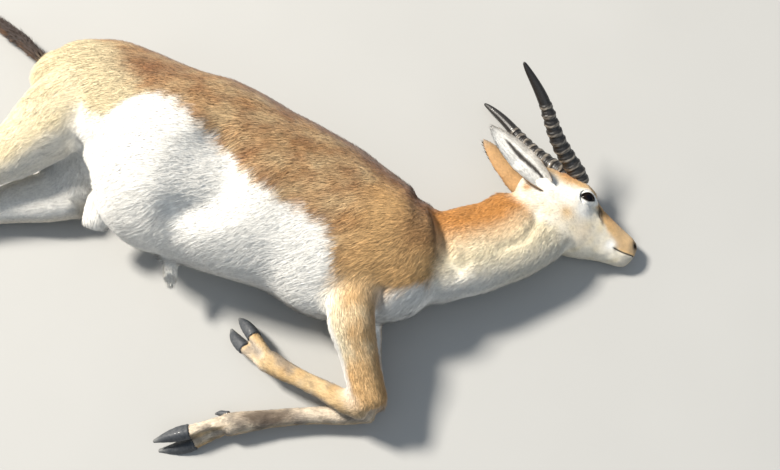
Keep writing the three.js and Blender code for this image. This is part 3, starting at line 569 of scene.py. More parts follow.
def shape_head(p):
    """The lids, as moves of the head's points sideways. They lie on the eyeball, 1.6 mm thick, with
    a thicker margin at almond size 1.08, a crease and a fold above and a shallow crease below,
    and run out into the cheek at size 2.3. Within the opening the skin sinks 7 mm."""
    p = p.copy()
    side = np.sign(p[:, 2])
    ring, v = almond(p)
    flat = np.hypot(p[:, 0] - EYE_AT[0], p[:, 1] - EYE_AT[1])
    ball = EYE_AT[2] + np.sqrt(np.maximum(EYE_RADIUS**2 - flat**2, 0))
    outer = np.abs(p[:, 2])
    upper = smooth(-2, 3, v)
    lid = ball + LID["thick"] + 0.8 * np.exp(-((ring - 1.08) / 0.07) ** 2)
    crease, fold = np.exp(-((ring - 1.5) / 0.09) ** 2), np.exp(-((ring - 1.75) / 0.16) ** 2)
    lid -= 1.3 * upper * crease - 1.5 * upper * fold
    lid -= 0.7 * (1 - upper) * np.exp(-((ring - 1.35) / 0.1) ** 2)
    blend = 1 - smooth(1.15, 2.3, ring)
    height = np.where(flat < EYE_RADIUS, np.maximum(lid, ball), outer)
    height = outer + (height - outer) * blend * (flat < EYE_RADIUS)
    rim = EYE_AT[2] + LID["thick"] + 4
    beyond = (flat >= EYE_RADIUS) & (ring < 2.3)
    height = np.where(beyond, np.maximum(outer, rim * blend + outer * (1 - blend)), height)
    sunk = 1 - smooth(0.92, 1.0, ring)
    height = height - sunk * 7
    faces_out = (np.abs(p[:, 2]) > 20) & (ring < 2.3)
    p[:, 2] = np.where(faces_out, side * height, p[:, 2])
    return p


local = shape_head(to_head(points))
points = from_head(local)
write_points(skin_mesh, points)
normals = read_normals(skin_mesh)

# The mouth's slit runs along the lip line. The nostril is a slanted comma 4.5 mm deep, and the
# tear gland two small pits in front of the eye, over a low pad.
away = local[:, 1] - lip_height(local[:, 0])
mouth_end = smooth(176, 184, local[:, 0])
dent = 2.6 * np.exp(-(away / 1.1) ** 2) * mouth_end
pit_axes = turned(np.radians([0, 0, -38]))
pit = (mirrored(local) - NOSTRIL_AT) @ pit_axes
dent += 4.5 * np.exp(-(pit[:, 0] / 6) ** 2 - (pit[:, 1] / 2.2) ** 2 - (pit[:, 2] / 7) ** 2)
dent += 1.8 * near(local, (124, 18, 30), 5) + 1.8 * near(local, (130, 12, 27), 5)
dent -= 1.3 * near(local, (122, 8, 33), 8)
points = points - normals * dent[:, None]
points[:, 2] = np.maximum(points[:, 2], SKIN_LOWEST)
write_points(skin_mesh, points)

skin = new_piece(
    "skin", skin_mesh, "torso", "neck", "tail", "scrotum", "sheath", "head",
    "foreleg_right_upper", "foreleg_right_cannon", "foreleg_left_upper", "foreleg_left_cannon",
    "hindleg_right_upper", "hindleg_right_gaskin", "hindleg_right_cannon",
    "hindleg_left_upper", "hindleg_left_gaskin", "hindleg_left_cannon", slot="coat")


# The markings of skin and coat: brown back and flanks, tan neck and legs, white belly, chest,
# inner legs, cheeks and eye rings, dark muzzle and grey lower legs, with painted shade at the
# shoulder's front edge, at the neck's base beside it and over the tail. They are worked out from
# each point's place on its own form, and both sides of the animal carry them.
def paint(code):
    """The linear colour of a six-figure code."""
    value = np.array([int(code[k:k + 2], 16) for k in (1, 3, 5)]) / 255
    return np.where(value <= 0.04045, value / 12.92, ((value + 0.055) / 1.055) ** 2.4)


BACK, FLANK, STRAW, RUMP = paint("#75492a"), paint("#a37a50"), paint("#c6ad85"), paint("#cfbf9a")
SHOULDER, NAPE, CREAM, WHITE = paint("#d0a670"), paint("#b98043"), paint("#e6d8b8"), paint("#eeece6")
CHEEK, GREY, DARK = paint("#cda873"), paint("#8a8177"), paint("#33261d")

# Along the trunk, from rump to chest, the turn in degrees from the spine at which the cream of
# the rump gives way to brown, and at which the white of the belly begins.
LOIN = np.array([
    (0, 0), (0.08, 6), (0.15, 20), (0.25, 52), (0.311, 76), (0.352, 84), (0.389, 84), (0.41, 180), (1, 180)])
BORDER = np.array([
    (0.0, 160), (0.1, 150), (0.25, 128), (0.333, 114), (0.343, 102), (0.361, 90), (0.389, 80), (0.435, 78),
    (0.474, 84), (0.519, 86), (0.57, 92), (0.6, 98), (0.659, 101), (0.704, 101), (0.75, 102),
    (0.775, 116), (0.798, 138), (0.9, 134), (1.0, 132)])


def mix(first, second, share):
    """The first colour moved towards the second by a share for each point."""
    return first + (second - first) * share[:, None]


# Down the head, from nape to nose, the height at which the tan of forehead and nose begins.
HEAD_TOP = np.array([
    (-10, 24), (20, 28), (44, 25), (60, 26), (75, 31), (90, 40), (110, 28), (129, 13), (156, -8), (170, -15),
    (185, -32), (235, -32)])

# White patches below the eye, behind it, at the ear and at the mouth's corner: strength, place
# on the head, and reach. Two small dark flecks lie on the cheek and the jaw.
PALE_SPOTS = [
    (1.5, (96, 2, 44), 18), (1.3, (60, 8, 44), 17), (1.3, (22, 8, 40), 20), (1.3, (172, -26, 24), 11)]
DARK_SPOTS = [(102, -50, 34), (36, -34, 42)]


# One long dark stain on the left cannon, nearly three times as long as it is wide.
STAIN = {"squeeze": [0.36, 1, 1], "at": (-75, -309, 40), "reach": 17}


def markings_and_painted_shade(p, local, found):
    """Colours at points: each form's ground colour, then the patches laid over it in turn, a few of
    them painted shade. t runs along a form, and a is the turn in degrees from its front axis, which
    is the spine's line on the trunk."""
    form, t = found["kind"], found["t"]
    turn = np.degrees(found["angle"])
    a = np.where(turn > 180, 360 - turn, turn)
    wander = ripple(p, 38, 3) * 2.5 + ripple(p, 12, 4) * 2.5
    clouds = ripple(p, 70, 14) * 0.6 + ripple(p, 24, 15) * 0.5
    plain = np.ones(len(p))[:, None]
    trunk = mix(plain * FLANK, STRAW, np.clip(0.4 + 0.55 * clouds, 0, 1))
    trunk = mix(trunk, BACK, 0.4 * smooth(-0.1, 0.7, ripple(p, 55, 17)) * smooth(0.3, 0.45, t))
    loin = np.interp(t, LOIN[:, 0], LOIN[:, 1])
    trunk = mix(trunk, RUMP, smooth(-9, 11, a - loin + 1.6 * wander))
    trunk = mix(trunk, SHOULDER, smooth(0.74, 0.84, t) * 0.85)
    wide = 28 + 22 * smooth(0.62, 0.84, t)
    spine = (1 - smooth(wide - 14, wide + 14, a + 1.5 * wander)) * smooth(0.06, 0.3, t)
    spine = np.maximum(spine, 0.8 * np.exp(-((t - 0.32) / 0.06) ** 2 - ((a + wander - 58) / 20) ** 2))
    trunk = mix(trunk, BACK, spine * 0.9)
    # Painted shade over the back's own brown: the shoulder's front edge darker on its upper side.
    trunk = mix(trunk, BACK, smooth(0.85, 0.93, t) * (1 - smooth(84, 110, a)) * 0.5)
    border = np.interp(t, BORDER[:, 0], BORDER[:, 1])
    trunk = mix(trunk, WHITE, smooth(-4, 5, a - border + wander))
    neck = mix(plain * NAPE, CREAM, smooth(58, 112, a + wander))
    neck = mix(neck, WHITE, smooth(105, 160, a + wander) * (0.55 + 0.4 * (1 - smooth(0.3, 0.6, t))))
    # Painted shade over the back's own brown: the neck's upper base darker beside the shoulder's front edge.
    neck = mix(neck, BACK, (1 - smooth(0.0, 0.26, t)) * (1 - smooth(50, 112, a + wander)) * 0.55)
    x, y = local[:, 0], local[:, 1]
    pale = WHITE * 0.94
    head = mix(plain * WHITE * 0.88, CREAM, 0.5 + 0.35 * np.clip(ripple(p, 30, 16), 0, 1))
    top = np.interp(x, HEAD_TOP[:, 0], HEAD_TOP[:, 1])
    lip = y - lip_height(x)
    ridge = smooth(-5, 9, y - top + ripple(p, 22, 5) * 4) * np.maximum(smooth(-1, 3, lip), x < 172)
    head = mix(head, CHEEK, ridge * 0.95)
    head = mix(head, NAPE, np.minimum(1, 1.3 * near(local, (52, 54, 16), 24)) * 0.9)
    head = mix(head, NAPE, near(local, (150, 32, 10), 26) * 0.6)
    head = mix(head, GREY * 0.9, (0.3 + 0.2 * smooth(196, 222, x)) * smooth(150, 185, x) * smooth(2, 8, lip))
    head = mix(head, CHEEK, 0.85 * near(local, (70, -23, 46), 14) + 0.25 * near(local, (112, -34, 36), 22))
    for amount, spot, reach in PALE_SPOTS:
        head = mix(head, pale, np.minimum(1, amount * near(local, spot, reach)))
    ring = almond(local)[0]
    beside = np.abs(local[:, 2]) > 15
    head = mix(head, pale, (1 - smooth(1.7, 2.4, ring)) * beside)
    head = mix(head, DARK * 0.25, (1 - smooth(1.1, 1.24, ring)) * beside)
    drawn = np.exp(-((x - 120 - 0.54 * (31 - y) - 1.2 * np.sin(y / 3)) / 2.4) ** 2)
    head = mix(head, DARK * 0.5, 0.95 * drawn * smooth(1, 8, y) * (1 - smooth(28, 34, y)) * beside)
    drawn = np.exp(-((x - 128 - 0.5 * (26 - y)) / 3.6) ** 2)
    head = mix(head, DARK * 0.8, 0.75 * drawn * smooth(-6, 2, y) * (1 - smooth(24, 34, y)))
    head = mix(head, GREY, 0.4 * smooth(190, 215, x) * (1 - smooth(-3, 1, lip)))
    head = mix(head, DARK * 0.4, np.exp(-(lip / 1.5) ** 2) * smooth(177, 184, x) * 0.97)
    head = mix(head, DARK * 0.4, 0.9 * near(local, (183, -26.5, 20), 4.2))
    head = mix(head, DARK * 0.5, np.minimum(1, 1.3 * near(local, NOSTRIL_AT, 6.5)))
    head = mix(head, DARK, 0.6 * smooth(220, 227, x) * smooth(-16, -4, y))
    for spot in DARK_SPOTS:
        head = mix(head, DARK, 0.75 * near(local, spot, 2.6))
    inner = smooth(-0.2, 0.5, -np.sin(found["angle"]) * found["side"])
    arm = mix(plain * SHOULDER, CREAM, np.clip(0.3 + 0.4 * clouds, 0, 1))
    arm = mix(arm, CREAM, smooth(85, 140, a + wander) * (1 - smooth(0.55, 0.8, t)))
    arm = mix(arm, SHOULDER * 0.95, smooth(0.55, 0.85, t) * 0.8)
    arm = mix(arm, FLANK, (1 - smooth(20, 60, a + wander)) * 0.6)
    inside = inner * (1 - 0.7 * smooth(0.7, 0.95, t))
    fore_upper = mix(arm, WHITE, np.maximum(inside, smooth(142, 162, a + wander)))
    thigh = mix(plain * RUMP, CREAM, np.clip(0.45 + 0.6 * clouds, 0, 1))
    thigh = mix(thigh, WHITE, 0.75 * (1 - smooth(25, 75, a + wander)))
    hind_upper = mix(thigh, WHITE, inner)
    shank = mix(plain * CHEEK * 0.8, STRAW, np.clip(0.5 + 0.6 * clouds, 0, 1))
    hind_shank = mix(mix(thigh, CHEEK, 0.15 * plain[:, 0]), WHITE, inner * 0.92)
    patches = smooth(0.0, 0.6, ripple(p, 30, 6))
    cannon = mix(mix(shank, WHITE, inner * 0.4), GREY, patches * 0.75)
    cannon = mix(cannon, DARK, 0.45 * smooth(0.2, 0.6, ripple(p, 20, 8)))
    stain = np.minimum(1, 1.5 * near(p * STAIN["squeeze"], STAIN["at"], STAIN["reach"]))
    cannon = mix(cannon, DARK * 1.3, 0.85 * stain)
    hind_cannon = mix(hind_shank, GREY, patches * 0.25)
    # Painted shade: the tail's own dark brown darkened much further, with a paler fringe on top.
    tail = mix(plain * BACK * 0.13, NAPE, (1 - smooth(0, 24, a)) * 0.3)
    white = plain * WHITE
    ground = {"trunk": trunk, "neck": neck, "head": head, "tail": tail, "scrotum": white, "sheath": white,
              "foreleg_upper": fore_upper, "foreleg_cannon": cannon, "hindleg_upper": hind_upper,
              "hindleg_gaskin": hind_shank, "hindleg_cannon": hind_cannon}
    colour = np.zeros((len(p), 3))
    for k, name in enumerate(KINDS):
        colour[form == k] = ground[name][form == k]
    return mix(colour, NAPE * 0.75, 0.9 * near(local, (-13, -14, 33), 9))


found = nearest_form(points)
colour = markings_and_painted_shade(points, local, found)
kind = found["kind"]
seam = np.zeros((len(points), 1))
seam[edges[kind[edges[:, 0]] != kind[edges[:, 1]]]] = 1
seam = np.minimum(1, 4 * eased(seam, edges, 0.8, 12))
colour = eased(colour, edges, 0.02 + 0.5 * seam * ~((kind == HEAD_K) & (local[:, 0] > 25))[:, None], 24)
lie = unit(eased(found["lie"], edges, 0.5, 14))


def write_colour(mesh, values):
    """Stores a linear colour for each point of a mesh, which the coat's materials read."""
    layer = mesh.color_attributes.new("coat_colour", "FLOAT_COLOR", "POINT")
    rgba = np.ones((len(values), 4), np.float32)
    rgba[:, :3] = np.clip(values, 0, 1)
    layer.data.foreach_set("color", rgba.ravel())


write_colour(skin_mesh, colour)


def add_node(tree, kind, settings=None, **values):
    """A shader node with its settings, and its sockets filled: spaces in a socket's name are
    written as underlines."""
    node = tree.nodes.new(kind)
    for key, value in (settings or {}).items():
        setattr(node, key, value)
    for key, value in values.items():
        node.inputs[key.replace("_", " ")].default_value = value
    return node


def start_material(name, roughness, **sockets):
    """A material with one shader; its other sockets are set directly on that shader."""
    material = bpy.data.materials.new(name)
    material.use_nodes = True
    tree = material.node_tree
    shader = tree.nodes["Principled BSDF"]
    shader.inputs["Roughness"].default_value = roughness
    for key, value in sockets.items():
        shader.inputs[key.replace("_", " ")].default_value = value
    return material, tree, shader


def coat_material(name, patch, depth, bump_size, bump_height, roughness=0.8):
    """The coat's own colour, made lighter and darker in patches by noise, over a bump of hair."""
    material, tree, shader = start_material(name, roughness, Sheen_Weight=0.12, Sheen_Roughness=0.5)
    shader.inputs["Specular IOR Level"].default_value = 0.25
    place = add_node(tree, "ShaderNodeTexCoord")
    colour = add_node(tree, "ShaderNodeAttribute", {"attribute_name": "coat_colour"})
    noise = add_node(tree, "ShaderNodeTexNoise", Scale=patch, Detail=4.0)
    shade = add_node(tree, "ShaderNodeMapRange", From_Min=0.3, From_Max=0.7,
                     To_Min=1 - depth, To_Max=1 + depth)
    tint = add_node(tree, "ShaderNodeVectorMath", {"operation": "SCALE"})
    hair = add_node(tree, "ShaderNodeTexNoise", Scale=bump_size, Detail=3.0)
    bump = add_node(tree, "ShaderNodeBump", Strength=0.6, Distance=bump_height)
    link = tree.links.new
    link(place.outputs["Object"], noise.inputs["Vector"])
    link(place.outputs["Object"], hair.inputs["Vector"])
    link(noise.outputs["Fac"], shade.inputs["Value"])
    link(colour.outputs["Color"], tint.inputs[0])
    link(shade.outputs["Result"], tint.inputs["Scale"])
    link(tint.outputs["Vector"], shader.inputs["Base Color"])
    link(hair.outputs["Fac"], bump.inputs["Height"])
    link(bump.outputs["Normal"], shader.inputs["Normal"])
    return material


skin_mesh.materials.append(coat_material("short_hair_skin", 140, 0.1, 900, 0.0012))
coat_finish = coat_material("hair_tufts", 220, 0.12, 2500, 0.0003, 0.72)


# The eyes: dark wet balls whose cornea bulges at the front, with a very dark brown iris round a
# level oval pupil. They sit in the lids' almond openings.
EYE_ROWS, EYE_SIDES = 47, 64


def eye_grid(side):
    """A sphere of points round the gaze: radius 15.6, plus a bulge 1.1 exp(-(polar / 0.5)2). The
    second array is the angle from the gaze, drawn in sideways so that the pupil is an oval."""
    polar = np.linspace(0, np.pi, EYE_ROWS + 2)[1:-1]
    azimuth = np.arange(EYE_SIDES) / EYE_SIDES * 2 * np.pi
    polar, azimuth = np.meshgrid(polar, azimuth, indexing="ij")
    radius = EYE_RADIUS - 0.4 + 1.1 * np.exp(-(polar / 0.5) ** 2)
    gaze = unit(np.array([0.2, 0.08, side * 1.0]))
    level = unit(np.cross([0, 1, 0], gaze))
    up = np.cross(gaze, level)
    rim = np.cos(azimuth)[..., None] * level + np.sin(azimuth)[..., None] * up
    points = radius[..., None] * (np.cos(polar)[..., None] * gaze + np.sin(polar)[..., None] * rim)
    centre = EYE_AT * [1, 1, side]
    poles = np.stack([centre + gaze * (EYE_RADIUS + 0.7), centre - gaze * (EYE_RADIUS - 0.4)])
    wide = np.hypot(np.cos(azimuth) * 0.62, np.sin(azimuth)) * polar
    return from_head(np.vstack([(points + centre).reshape(-1, 3), poles])), np.append(wide.ravel(), [0, 3])


eye_material, tree, shader = start_material("wet_eye", 0.12, Coat_Weight=0.02, Coat_Roughness=0.02)
shader.inputs["IOR"].default_value = 1.38
shader.inputs["Specular IOR Level"].default_value = 0.08
zone = add_node(tree, "ShaderNodeAttribute", {"attribute_name": "iris_zone"})
bands = add_node(tree, "ShaderNodeValToRGB")
bands.color_ramp.elements[0].color = (0.003, 0.003, 0.005, 1)
bands.color_ramp.elements[0].position = 0.28
bands.color_ramp.elements[1].color = (0.009, 0.006, 0.005, 1)
bands.color_ramp.elements[1].position = 0.34
edge = bands.color_ramp.elements.new(0.8)
edge.color = (0.004, 0.003, 0.003, 1)
threads = add_node(tree, "ShaderNodeTexNoise", Scale=400.0, Detail=3.0)
eye_place = add_node(tree, "ShaderNodeTexCoord")
shade = add_node(tree, "ShaderNodeMapRange", To_Min=0.7, To_Max=1.4)
tint = add_node(tree, "ShaderNodeVectorMath", {"operation": "SCALE"})
tree.links.new(zone.outputs["Fac"], bands.inputs["Fac"])
tree.links.new(eye_place.outputs["Object"], threads.inputs["Vector"])
tree.links.new(threads.outputs["Fac"], shade.inputs["Value"])
tree.links.new(bands.outputs["Color"], tint.inputs[0])
tree.links.new(shade.outputs["Result"], tint.inputs["Scale"])
tree.links.new(tint.outputs["Vector"], shader.inputs["Base Color"])
for side, name in ((1, "right"), (-1, "left")):
    eye_points, eye_zone = eye_grid(side)
    eye_mesh = new_mesh(f"eyeball_{name}", eye_points, closed_faces(EYE_ROWS, EYE_SIDES, 0))
    zone_layer = eye_mesh.attributes.new("iris_zone", "FLOAT", "POINT")
    zone_layer.data.foreach_set("value", eye_zone.astype(np.float32))
    eye_mesh.materials.append(eye_material)
    new_piece(f"eyeball_{name}", eye_mesh, f"eye_{name}", slot="eye")


# The horns: black sheaths over bone, ringed over their lower two thirds and smooth at the tip.
# They lean back and outwards in a light twist. The rings are pale near their crests: partly worn
# horn, partly a painted highlight just off each crest.
HORN = {"root": 16, "radius": 16, "taper": 0.45, "ridge": 2, "bow": 140, "swing": 4.6, "rings": 10,
        "slant": 3.5, "ringed_to": 0.68, "rows": 320, "sides": 40}
HORN_TIP = {"right": (-191.5, 96.4, 86), "left": (-207, 90, 86)}


def horn_grid(tip, side):
    """Rings on a line that leans back along one axis, swung round it by 4.6 sin(pi s)^0.7 as it
    turns from 42 to 420 degrees. The radius is 16 (1 - s)^0.45 and swells by each ring, and the
    rings slant by 3.5 mm, up one side and down the other. The second array is the paleness near
    the ring crests: partly wear, partly painted highlight."""
    s = np.linspace(0, 1, HORN["rows"])
    length = np.linalg.norm(tip) + HORN["root"]
    axis = unit(np.array(tip, float))
    first = unit(np.cross(axis, [0, 0, 1.0]))
    second = np.cross(axis, first)
    turn = np.radians(42 + 378 * s)
    swing = HORN["swing"] * np.sin(np.pi * s) ** 0.7
    line = HORN_AT + (length * s - HORN["root"])[:, None] * axis
    line = line + (swing * np.cos(turn))[:, None] * first + (swing * np.sin(turn))[:, None] * second
    line[:, 0] += HORN["bow"] * s * (1 - s) ** 8
    angle = np.arange(HORN["sides"]) / HORN["sides"] * 2 * np.pi
    s = s[:, None]
    slant = s + HORN["slant"] / length * np.sin(angle) + 0.0022 * np.sin(3 * angle + 40 * s)
    ringed = smooth(0, 0.08, 0.7 - s)
    phase = 2 * np.pi * HORN["rings"] * slant / HORN["ringed_to"]
    wave = 0.5 - 0.5 * np.cos(phase)
    radius = HORN["radius"] * (1 - s) ** HORN["taper"] + 0.6 + HORN["ridge"] * ringed * (wave - 0.5)
    radius = radius + 0.16 * np.sin(13 * angle + 9 * s) + 0.35 * ringed * np.cos(2.7 * phase)
    along = unit(np.gradient(line, axis=0))
    front = unit(np.cross(along, np.array([0, 0, 1.0])))
    up = np.cross(front, along)
    rim = np.cos(angle)[None, :, None] * front[:, None] * 1.06
    rim = rim + np.sin(angle)[None, :, None] * up[:, None] * 0.95
    points = line[:, None] + np.maximum(radius, 0.5)[..., None] * rim
    poles = np.stack([line[0] - along[0], line[-1] + along[-1] * 0.8])
    patchy = 0.6 + 0.4 * np.sin(2 * angle + 2.3 * phase) * np.sin(5 * angle - 25 * s)
    # Paleness just off each ring's crest: partly worn horn, partly painted highlight.
    light = ringed * smooth(0.66, 0.93, 0.5 - 0.5 * np.cos(phase + 0.6)) * patchy
    points = np.vstack([points.reshape(-1, 3), poles])
    points[:, 2] *= side
    return from_head(points), np.append(light.ravel(), [0, 0])


def horn_material(name, dark, light, fibre, rough=0.42):
    """Dark horn, lighter where worn and, on the horns, at a painted highlight along the ring crests, with
    fine cracks and pits from noise.
    """
    material, tree, shader = start_material(name, rough, Coat_Weight=0.12)
    place = add_node(tree, "ShaderNodeTexCoord")
    wear_and_highlight = add_node(tree, "ShaderNodeAttribute", {"attribute_name": "wear_and_highlight"})
    noise = add_node(tree, "ShaderNodeTexNoise", Scale=fibre, Detail=6.0)
    total = add_node(tree, "ShaderNodeMath", {"operation": "MULTIPLY_ADD"})
    total.inputs[1].default_value = 0.55
    blend = add_node(tree, "ShaderNodeMix", {"data_type": "RGBA"})
    blend.inputs[6].default_value = (*dark, 1)
    blend.inputs[7].default_value = (*light, 1)
    bump = add_node(tree, "ShaderNodeBump", Strength=0.5, Distance=0.0006)
    link = tree.links.new
    link(place.outputs["Object"], noise.inputs["Vector"])
    link(noise.outputs["Fac"], total.inputs[0])
    link(wear_and_highlight.outputs["Fac"], total.inputs[2])
    shift = add_node(tree, "ShaderNodeMapRange", From_Min=0.3, From_Max=1.25, To_Min=0.0, To_Max=1.0)
    link(total.outputs["Value"], shift.inputs["Value"])
    link(shift.outputs["Result"], blend.inputs[0])
    link(blend.outputs[2], shader.inputs["Base Color"])
    link(noise.outputs["Fac"], bump.inputs["Height"])
    link(bump.outputs["Normal"], shader.inputs["Normal"])
    return material


def write_wear_and_highlight(mesh, values):
    """Stores how worn the horn is at each point, with the painted highlight at the horns' ring crests, which
    its material reads.
    """
    layer = mesh.attributes.new("wear_and_highlight", "FLOAT", "POINT")
    layer.data.foreach_set("value", values.astype(np.float32))


horn_finish = horn_material("ringed_horn", paint("#1c1917"), paint("#8d8478"), 500)
for side, name in ((1, "right"), (-1, "left")):
    horn_points, light = horn_grid(HORN_TIP[name], side)
    faces = closed_faces(HORN["rows"], HORN["sides"], 0)
    if side < 0:
        faces = faces[:, ::-1]
    horn_mesh = new_mesh(f"ringed_horn_{name}", horn_points, np.ascontiguousarray(faces))
    write_wear_and_highlight(horn_mesh, light)
    horn_mesh.materials.append(horn_finish)
    new_piece(f"ringed_horn_{name}", horn_mesh, f"horn_{name}", slot="horn")


# The hooves and dew claws: two pointed toes of dark horn to each foot and two small claws
# behind the fetlock, with faint growth rings and a worn, paler tip.
HOOF_SIDES = 32
hoof_finish = horn_material("worn_hoof", paint("#272c34"), paint("#777876"), 260, 0.62)


def hoof_rows(foot, n):
    """The stations of toe n's hoof, from the pastern's end to the pointed tip."""
    r, start, spread = TOE["radius"], TOE["pastern"] * foot[3] - 1, TOE["spread"]
    tip = start + TOE["hoof"] * foot[3]
    return foot_rows(foot, [
        (start, 0, n * spread, r, r + 2, r - 1, r - 1, 2.4),
        (start + 16, -1, n * (spread + 1.5), r - 1, r + 2, r - 1.5, r - 1.5, 2.6),
        (start + 36, -4, n * (spread + 1.5), r - 4, r - 2, r - 4, r - 4, 2.6),
        (tip, -9, n * (spread - 1), 3, 4, 3, 3, 2.2)])


def claw_rows(foot, n):
    """The stations of the dew claw behind toe n: a short cone that points down and back."""
    return [(*row[:7], 2.1, 2.1, 0) for row in foot_rows(foot, [
        (-8, -13, n * 9, 6, 6, 6, 6), (4, -21, n * 10, 5, 5, 5, 5), (13, -26, n * 9, 2, 2, 2, 2)])]


def horny_piece(name, node, rows, caps, rings):
    """A rounded form whose radius swells by a hair's breadth at each growth ring."""
    grid, poles, along, t, angle = rounded_form(rows, 1.5, HOOF_SIDES, caps, 0.0)
    middle = grid.mean(axis=1, keepdims=True)
    wave = 0.15 * np.cos(2 * np.pi * rings * t) * (t < 0.9)
    grid = grid + unit(grid - middle) * wave[:, None, None]
    shape = np.vstack([grid.reshape(-1, 3), poles])
    shape[:, 2] = np.maximum(shape[:, 2], 0.0)
    mesh = new_mesh(name, shape, closed_faces(len(t), HOOF_SIDES, 0))
    wear = 0.15 + 0.5 * smooth(0.75, 1.0, t)
    write_wear_and_highlight(mesh, np.append(np.repeat(wear, HOOF_SIDES), [0.2, 0.6]))
    mesh.materials.append(hoof_finish)
    return new_piece(name, mesh, node, slot="hoof")


for leg_name, leg in LEGS.items():
    for toe, place_name in ((1, "upper"), (-1, "under")):
        node = f"{leg_name}_hoof_{place_name}"
        horny_piece(f"horny_{node}", node, hoof_rows(leg["foot"], toe), (4, 3), 5)
        node = f"{leg_name}_dewclaw_{place_name}"
        horny_piece(f"horny_{node}", node, claw_rows(leg["foot"], toe), (3, 1.5), 2)


# The ears: long leaves of gristle rolled into troughs, thin at the rim, tan behind and white
# within, where a long dark slit and low ridges run up from the opening.
EAR = {"length": 146, "width": 23, "wall": 3, "root": (16, 4, 34), "opening": (0.1, -0.25, 1)}
EAR_LOWEST = 1.2
EAR_TIP = {"right": (-119, 39, 53), "left": (-121, 61, 58)}


def ear_grid(tip, side, rows=56, columns=36):
    """Outer and inner sheets: at s along the ear, an arc of half width 23 sin(pi(0.13 + 0.86s))^0.66
    whose half angle falls from 118 to 42 degrees; the wall thins to the rim and the tip."""
    s = np.linspace(0, 1, rows)[:, None]
    q = np.linspace(-1, 1, columns)[None, :]
    half = EAR["width"] * np.sin(np.pi * (0.13 + 0.86 * s)) ** 0.66 + 0.6
    curl = np.radians(118 - 62 * np.minimum(1, 2.2 * s) - 14 * s)
    radius = half / np.sin(np.minimum(curl, np.pi / 2))
    wall = EAR["wall"] * (1 - 0.7 * q * q) * (1 - 0.45 * s)
    bend = 9 * np.sin(np.pi * s)
    mirror = np.array([1, 1, side])
    root = np.array(EAR["root"]) * mirror
    along = unit(np.array(tip) * mirror - root)
    facing = np.array(EAR["opening"]) * mirror
    facing = unit(facing - along * facing.dot(along))
    across = np.cross(facing, along)

    def sheet(r):
        """An arc of radius r about the ear's axis, lifted in a bend of 9 mm along its length."""
        flat = [EAR["length"] * s + 0 * q, r * np.sin(q * curl), bend - r * np.cos(q * curl) + radius * 0.55]
        return root + flat[0][..., None] * along + flat[1][..., None] * across + flat[2][..., None] * facing

    ridges = 0.5 * np.cos(q * 9) ** 8 * smooth(0.1, 0.3, s) * (1 - smooth(0.7, 0.95, s))
    outer, inner = sheet(radius + 0 * q), sheet(np.maximum(radius - wall - ridges, 0.4))
    return outer, inner, s + 0 * q, q + 0 * s, along


def ear_faces(rows, columns):
    """Both sheets of quads, and the rim that joins them all round."""
    i, j = np.meshgrid(np.arange(rows - 1), np.arange(columns - 1), indexing="ij")
    n = (i * columns + j).ravel()
    shift = rows * columns
    outer = np.stack([n, n + 1, n + columns + 1, n + columns], -1)
    inner = outer[:, ::-1] + shift
    k = np.arange(rows - 1) * columns
    low = np.stack([k, k + columns, k + columns + shift, k + shift], -1)
    k = k + columns - 1
    high = np.stack([k, k + shift, k + columns + shift, k + columns], -1)
    k = np.arange(columns - 1)
    root = np.stack([k, k + shift, k + 1 + shift, k + 1], -1)
    k = k + (rows - 1) * columns
    tip = np.stack([k, k + 1, k + 1 + shift, k + shift], -1)
    return np.vstack([outer, inner, low, high, root, tip])


ear_sheets = {}
for side, name in ((1, "right"), (-1, "left")):
    outer, inner, s, q, along = ear_grid(EAR_TIP[name], side)
    back = from_head(outer.reshape(-1, 3))
    cup = from_head(inner.reshape(-1, 3))
    for sheet in (back, cup):
        sheet[:, 2] = np.maximum(sheet[:, 2], EAR_LOWEST)
    flat_s, flat_q = s.ravel(), q.ravel()
    rim = smooth(0.8, 0.95, np.abs(flat_q))
    back_colour = mix(np.tile(mix(NAPE, STRAW, np.array([0.5])), (len(back), 1)) * 0.85, FLANK, rim * 0.5)
    back_colour = mix(back_colour, GREY, smooth(0.85, 1.0, flat_s) * 0.5)
    middle = -0.2 - 0.06 * np.sin(9 * flat_s) + 0.03 * ripple(cup, 9, 18)
    slit = np.exp(-((flat_q - middle) / (0.06 + 0.12 * np.sin(np.pi * flat_s))) ** 4)
    slit *= smooth(0.03, 0.1, flat_s)
    slit *= 1 - smooth(0.7, 0.82, flat_s)
    cup_colour = mix(np.tile(WHITE, (len(cup), 1)), GREY, smooth(-0.35, -0.8, flat_q) * 0.45)
    shaded = np.clip(ripple(cup, 16, 19), 0, 1) * 0.25 + 0.5 * smooth(0.9, 1, np.abs(flat_q))
    cup_colour = mix(cup_colour, GREY, shaded)
    cup_colour = mix(cup_colour, DARK * 0.5, slit * 0.95)
    cup_colour = mix(cup_colour, GREY, smooth(0.85, 1.0, flat_s) * 0.4)
    faces = ear_faces(*s.shape)
    ear_mesh = new_mesh(f"rolled_ear_{name}", np.vstack([back, cup]), np.ascontiguousarray(faces))
    write_colour(ear_mesh, np.vstack([back_colour, cup_colour]))
    ear_mesh.materials.append(coat_finish)
    new_piece(f"rolled_ear_{name}", ear_mesh, f"ear_{name}", slot="coat")
    way = unit(HEAD_AXES @ along)
    ear_sheets[name] = (back, cup, back_colour, cup_colour, flat_s, flat_q, way, s.shape)


# The coat: short straight hair that lies close along the body, in thin pointed tufts rooted in
# the skin. It is about 17 mm long on the trunk, 14 mm on the neck, 8 to 14 mm on the legs, 2 to
# 9 mm on the face and 20 mm on the sheath, and 32 mm and shaggy on the tail.
TUFT_LOWEST, ROOT_SUNK, PATCH = 0.3, 0.8, 0.003
draw = np.random.default_rng(41)
normals = read_normals(skin_mesh)
points = read_points(skin_mesh)
local = to_head(points)
skin_mesh.calc_loop_triangles()
corners = np.empty(len(skin_mesh.loop_triangles) * 3, np.int32)
skin_mesh.loop_triangles.foreach_get("vertices", corners)
corners = corners.reshape(-1, 3)

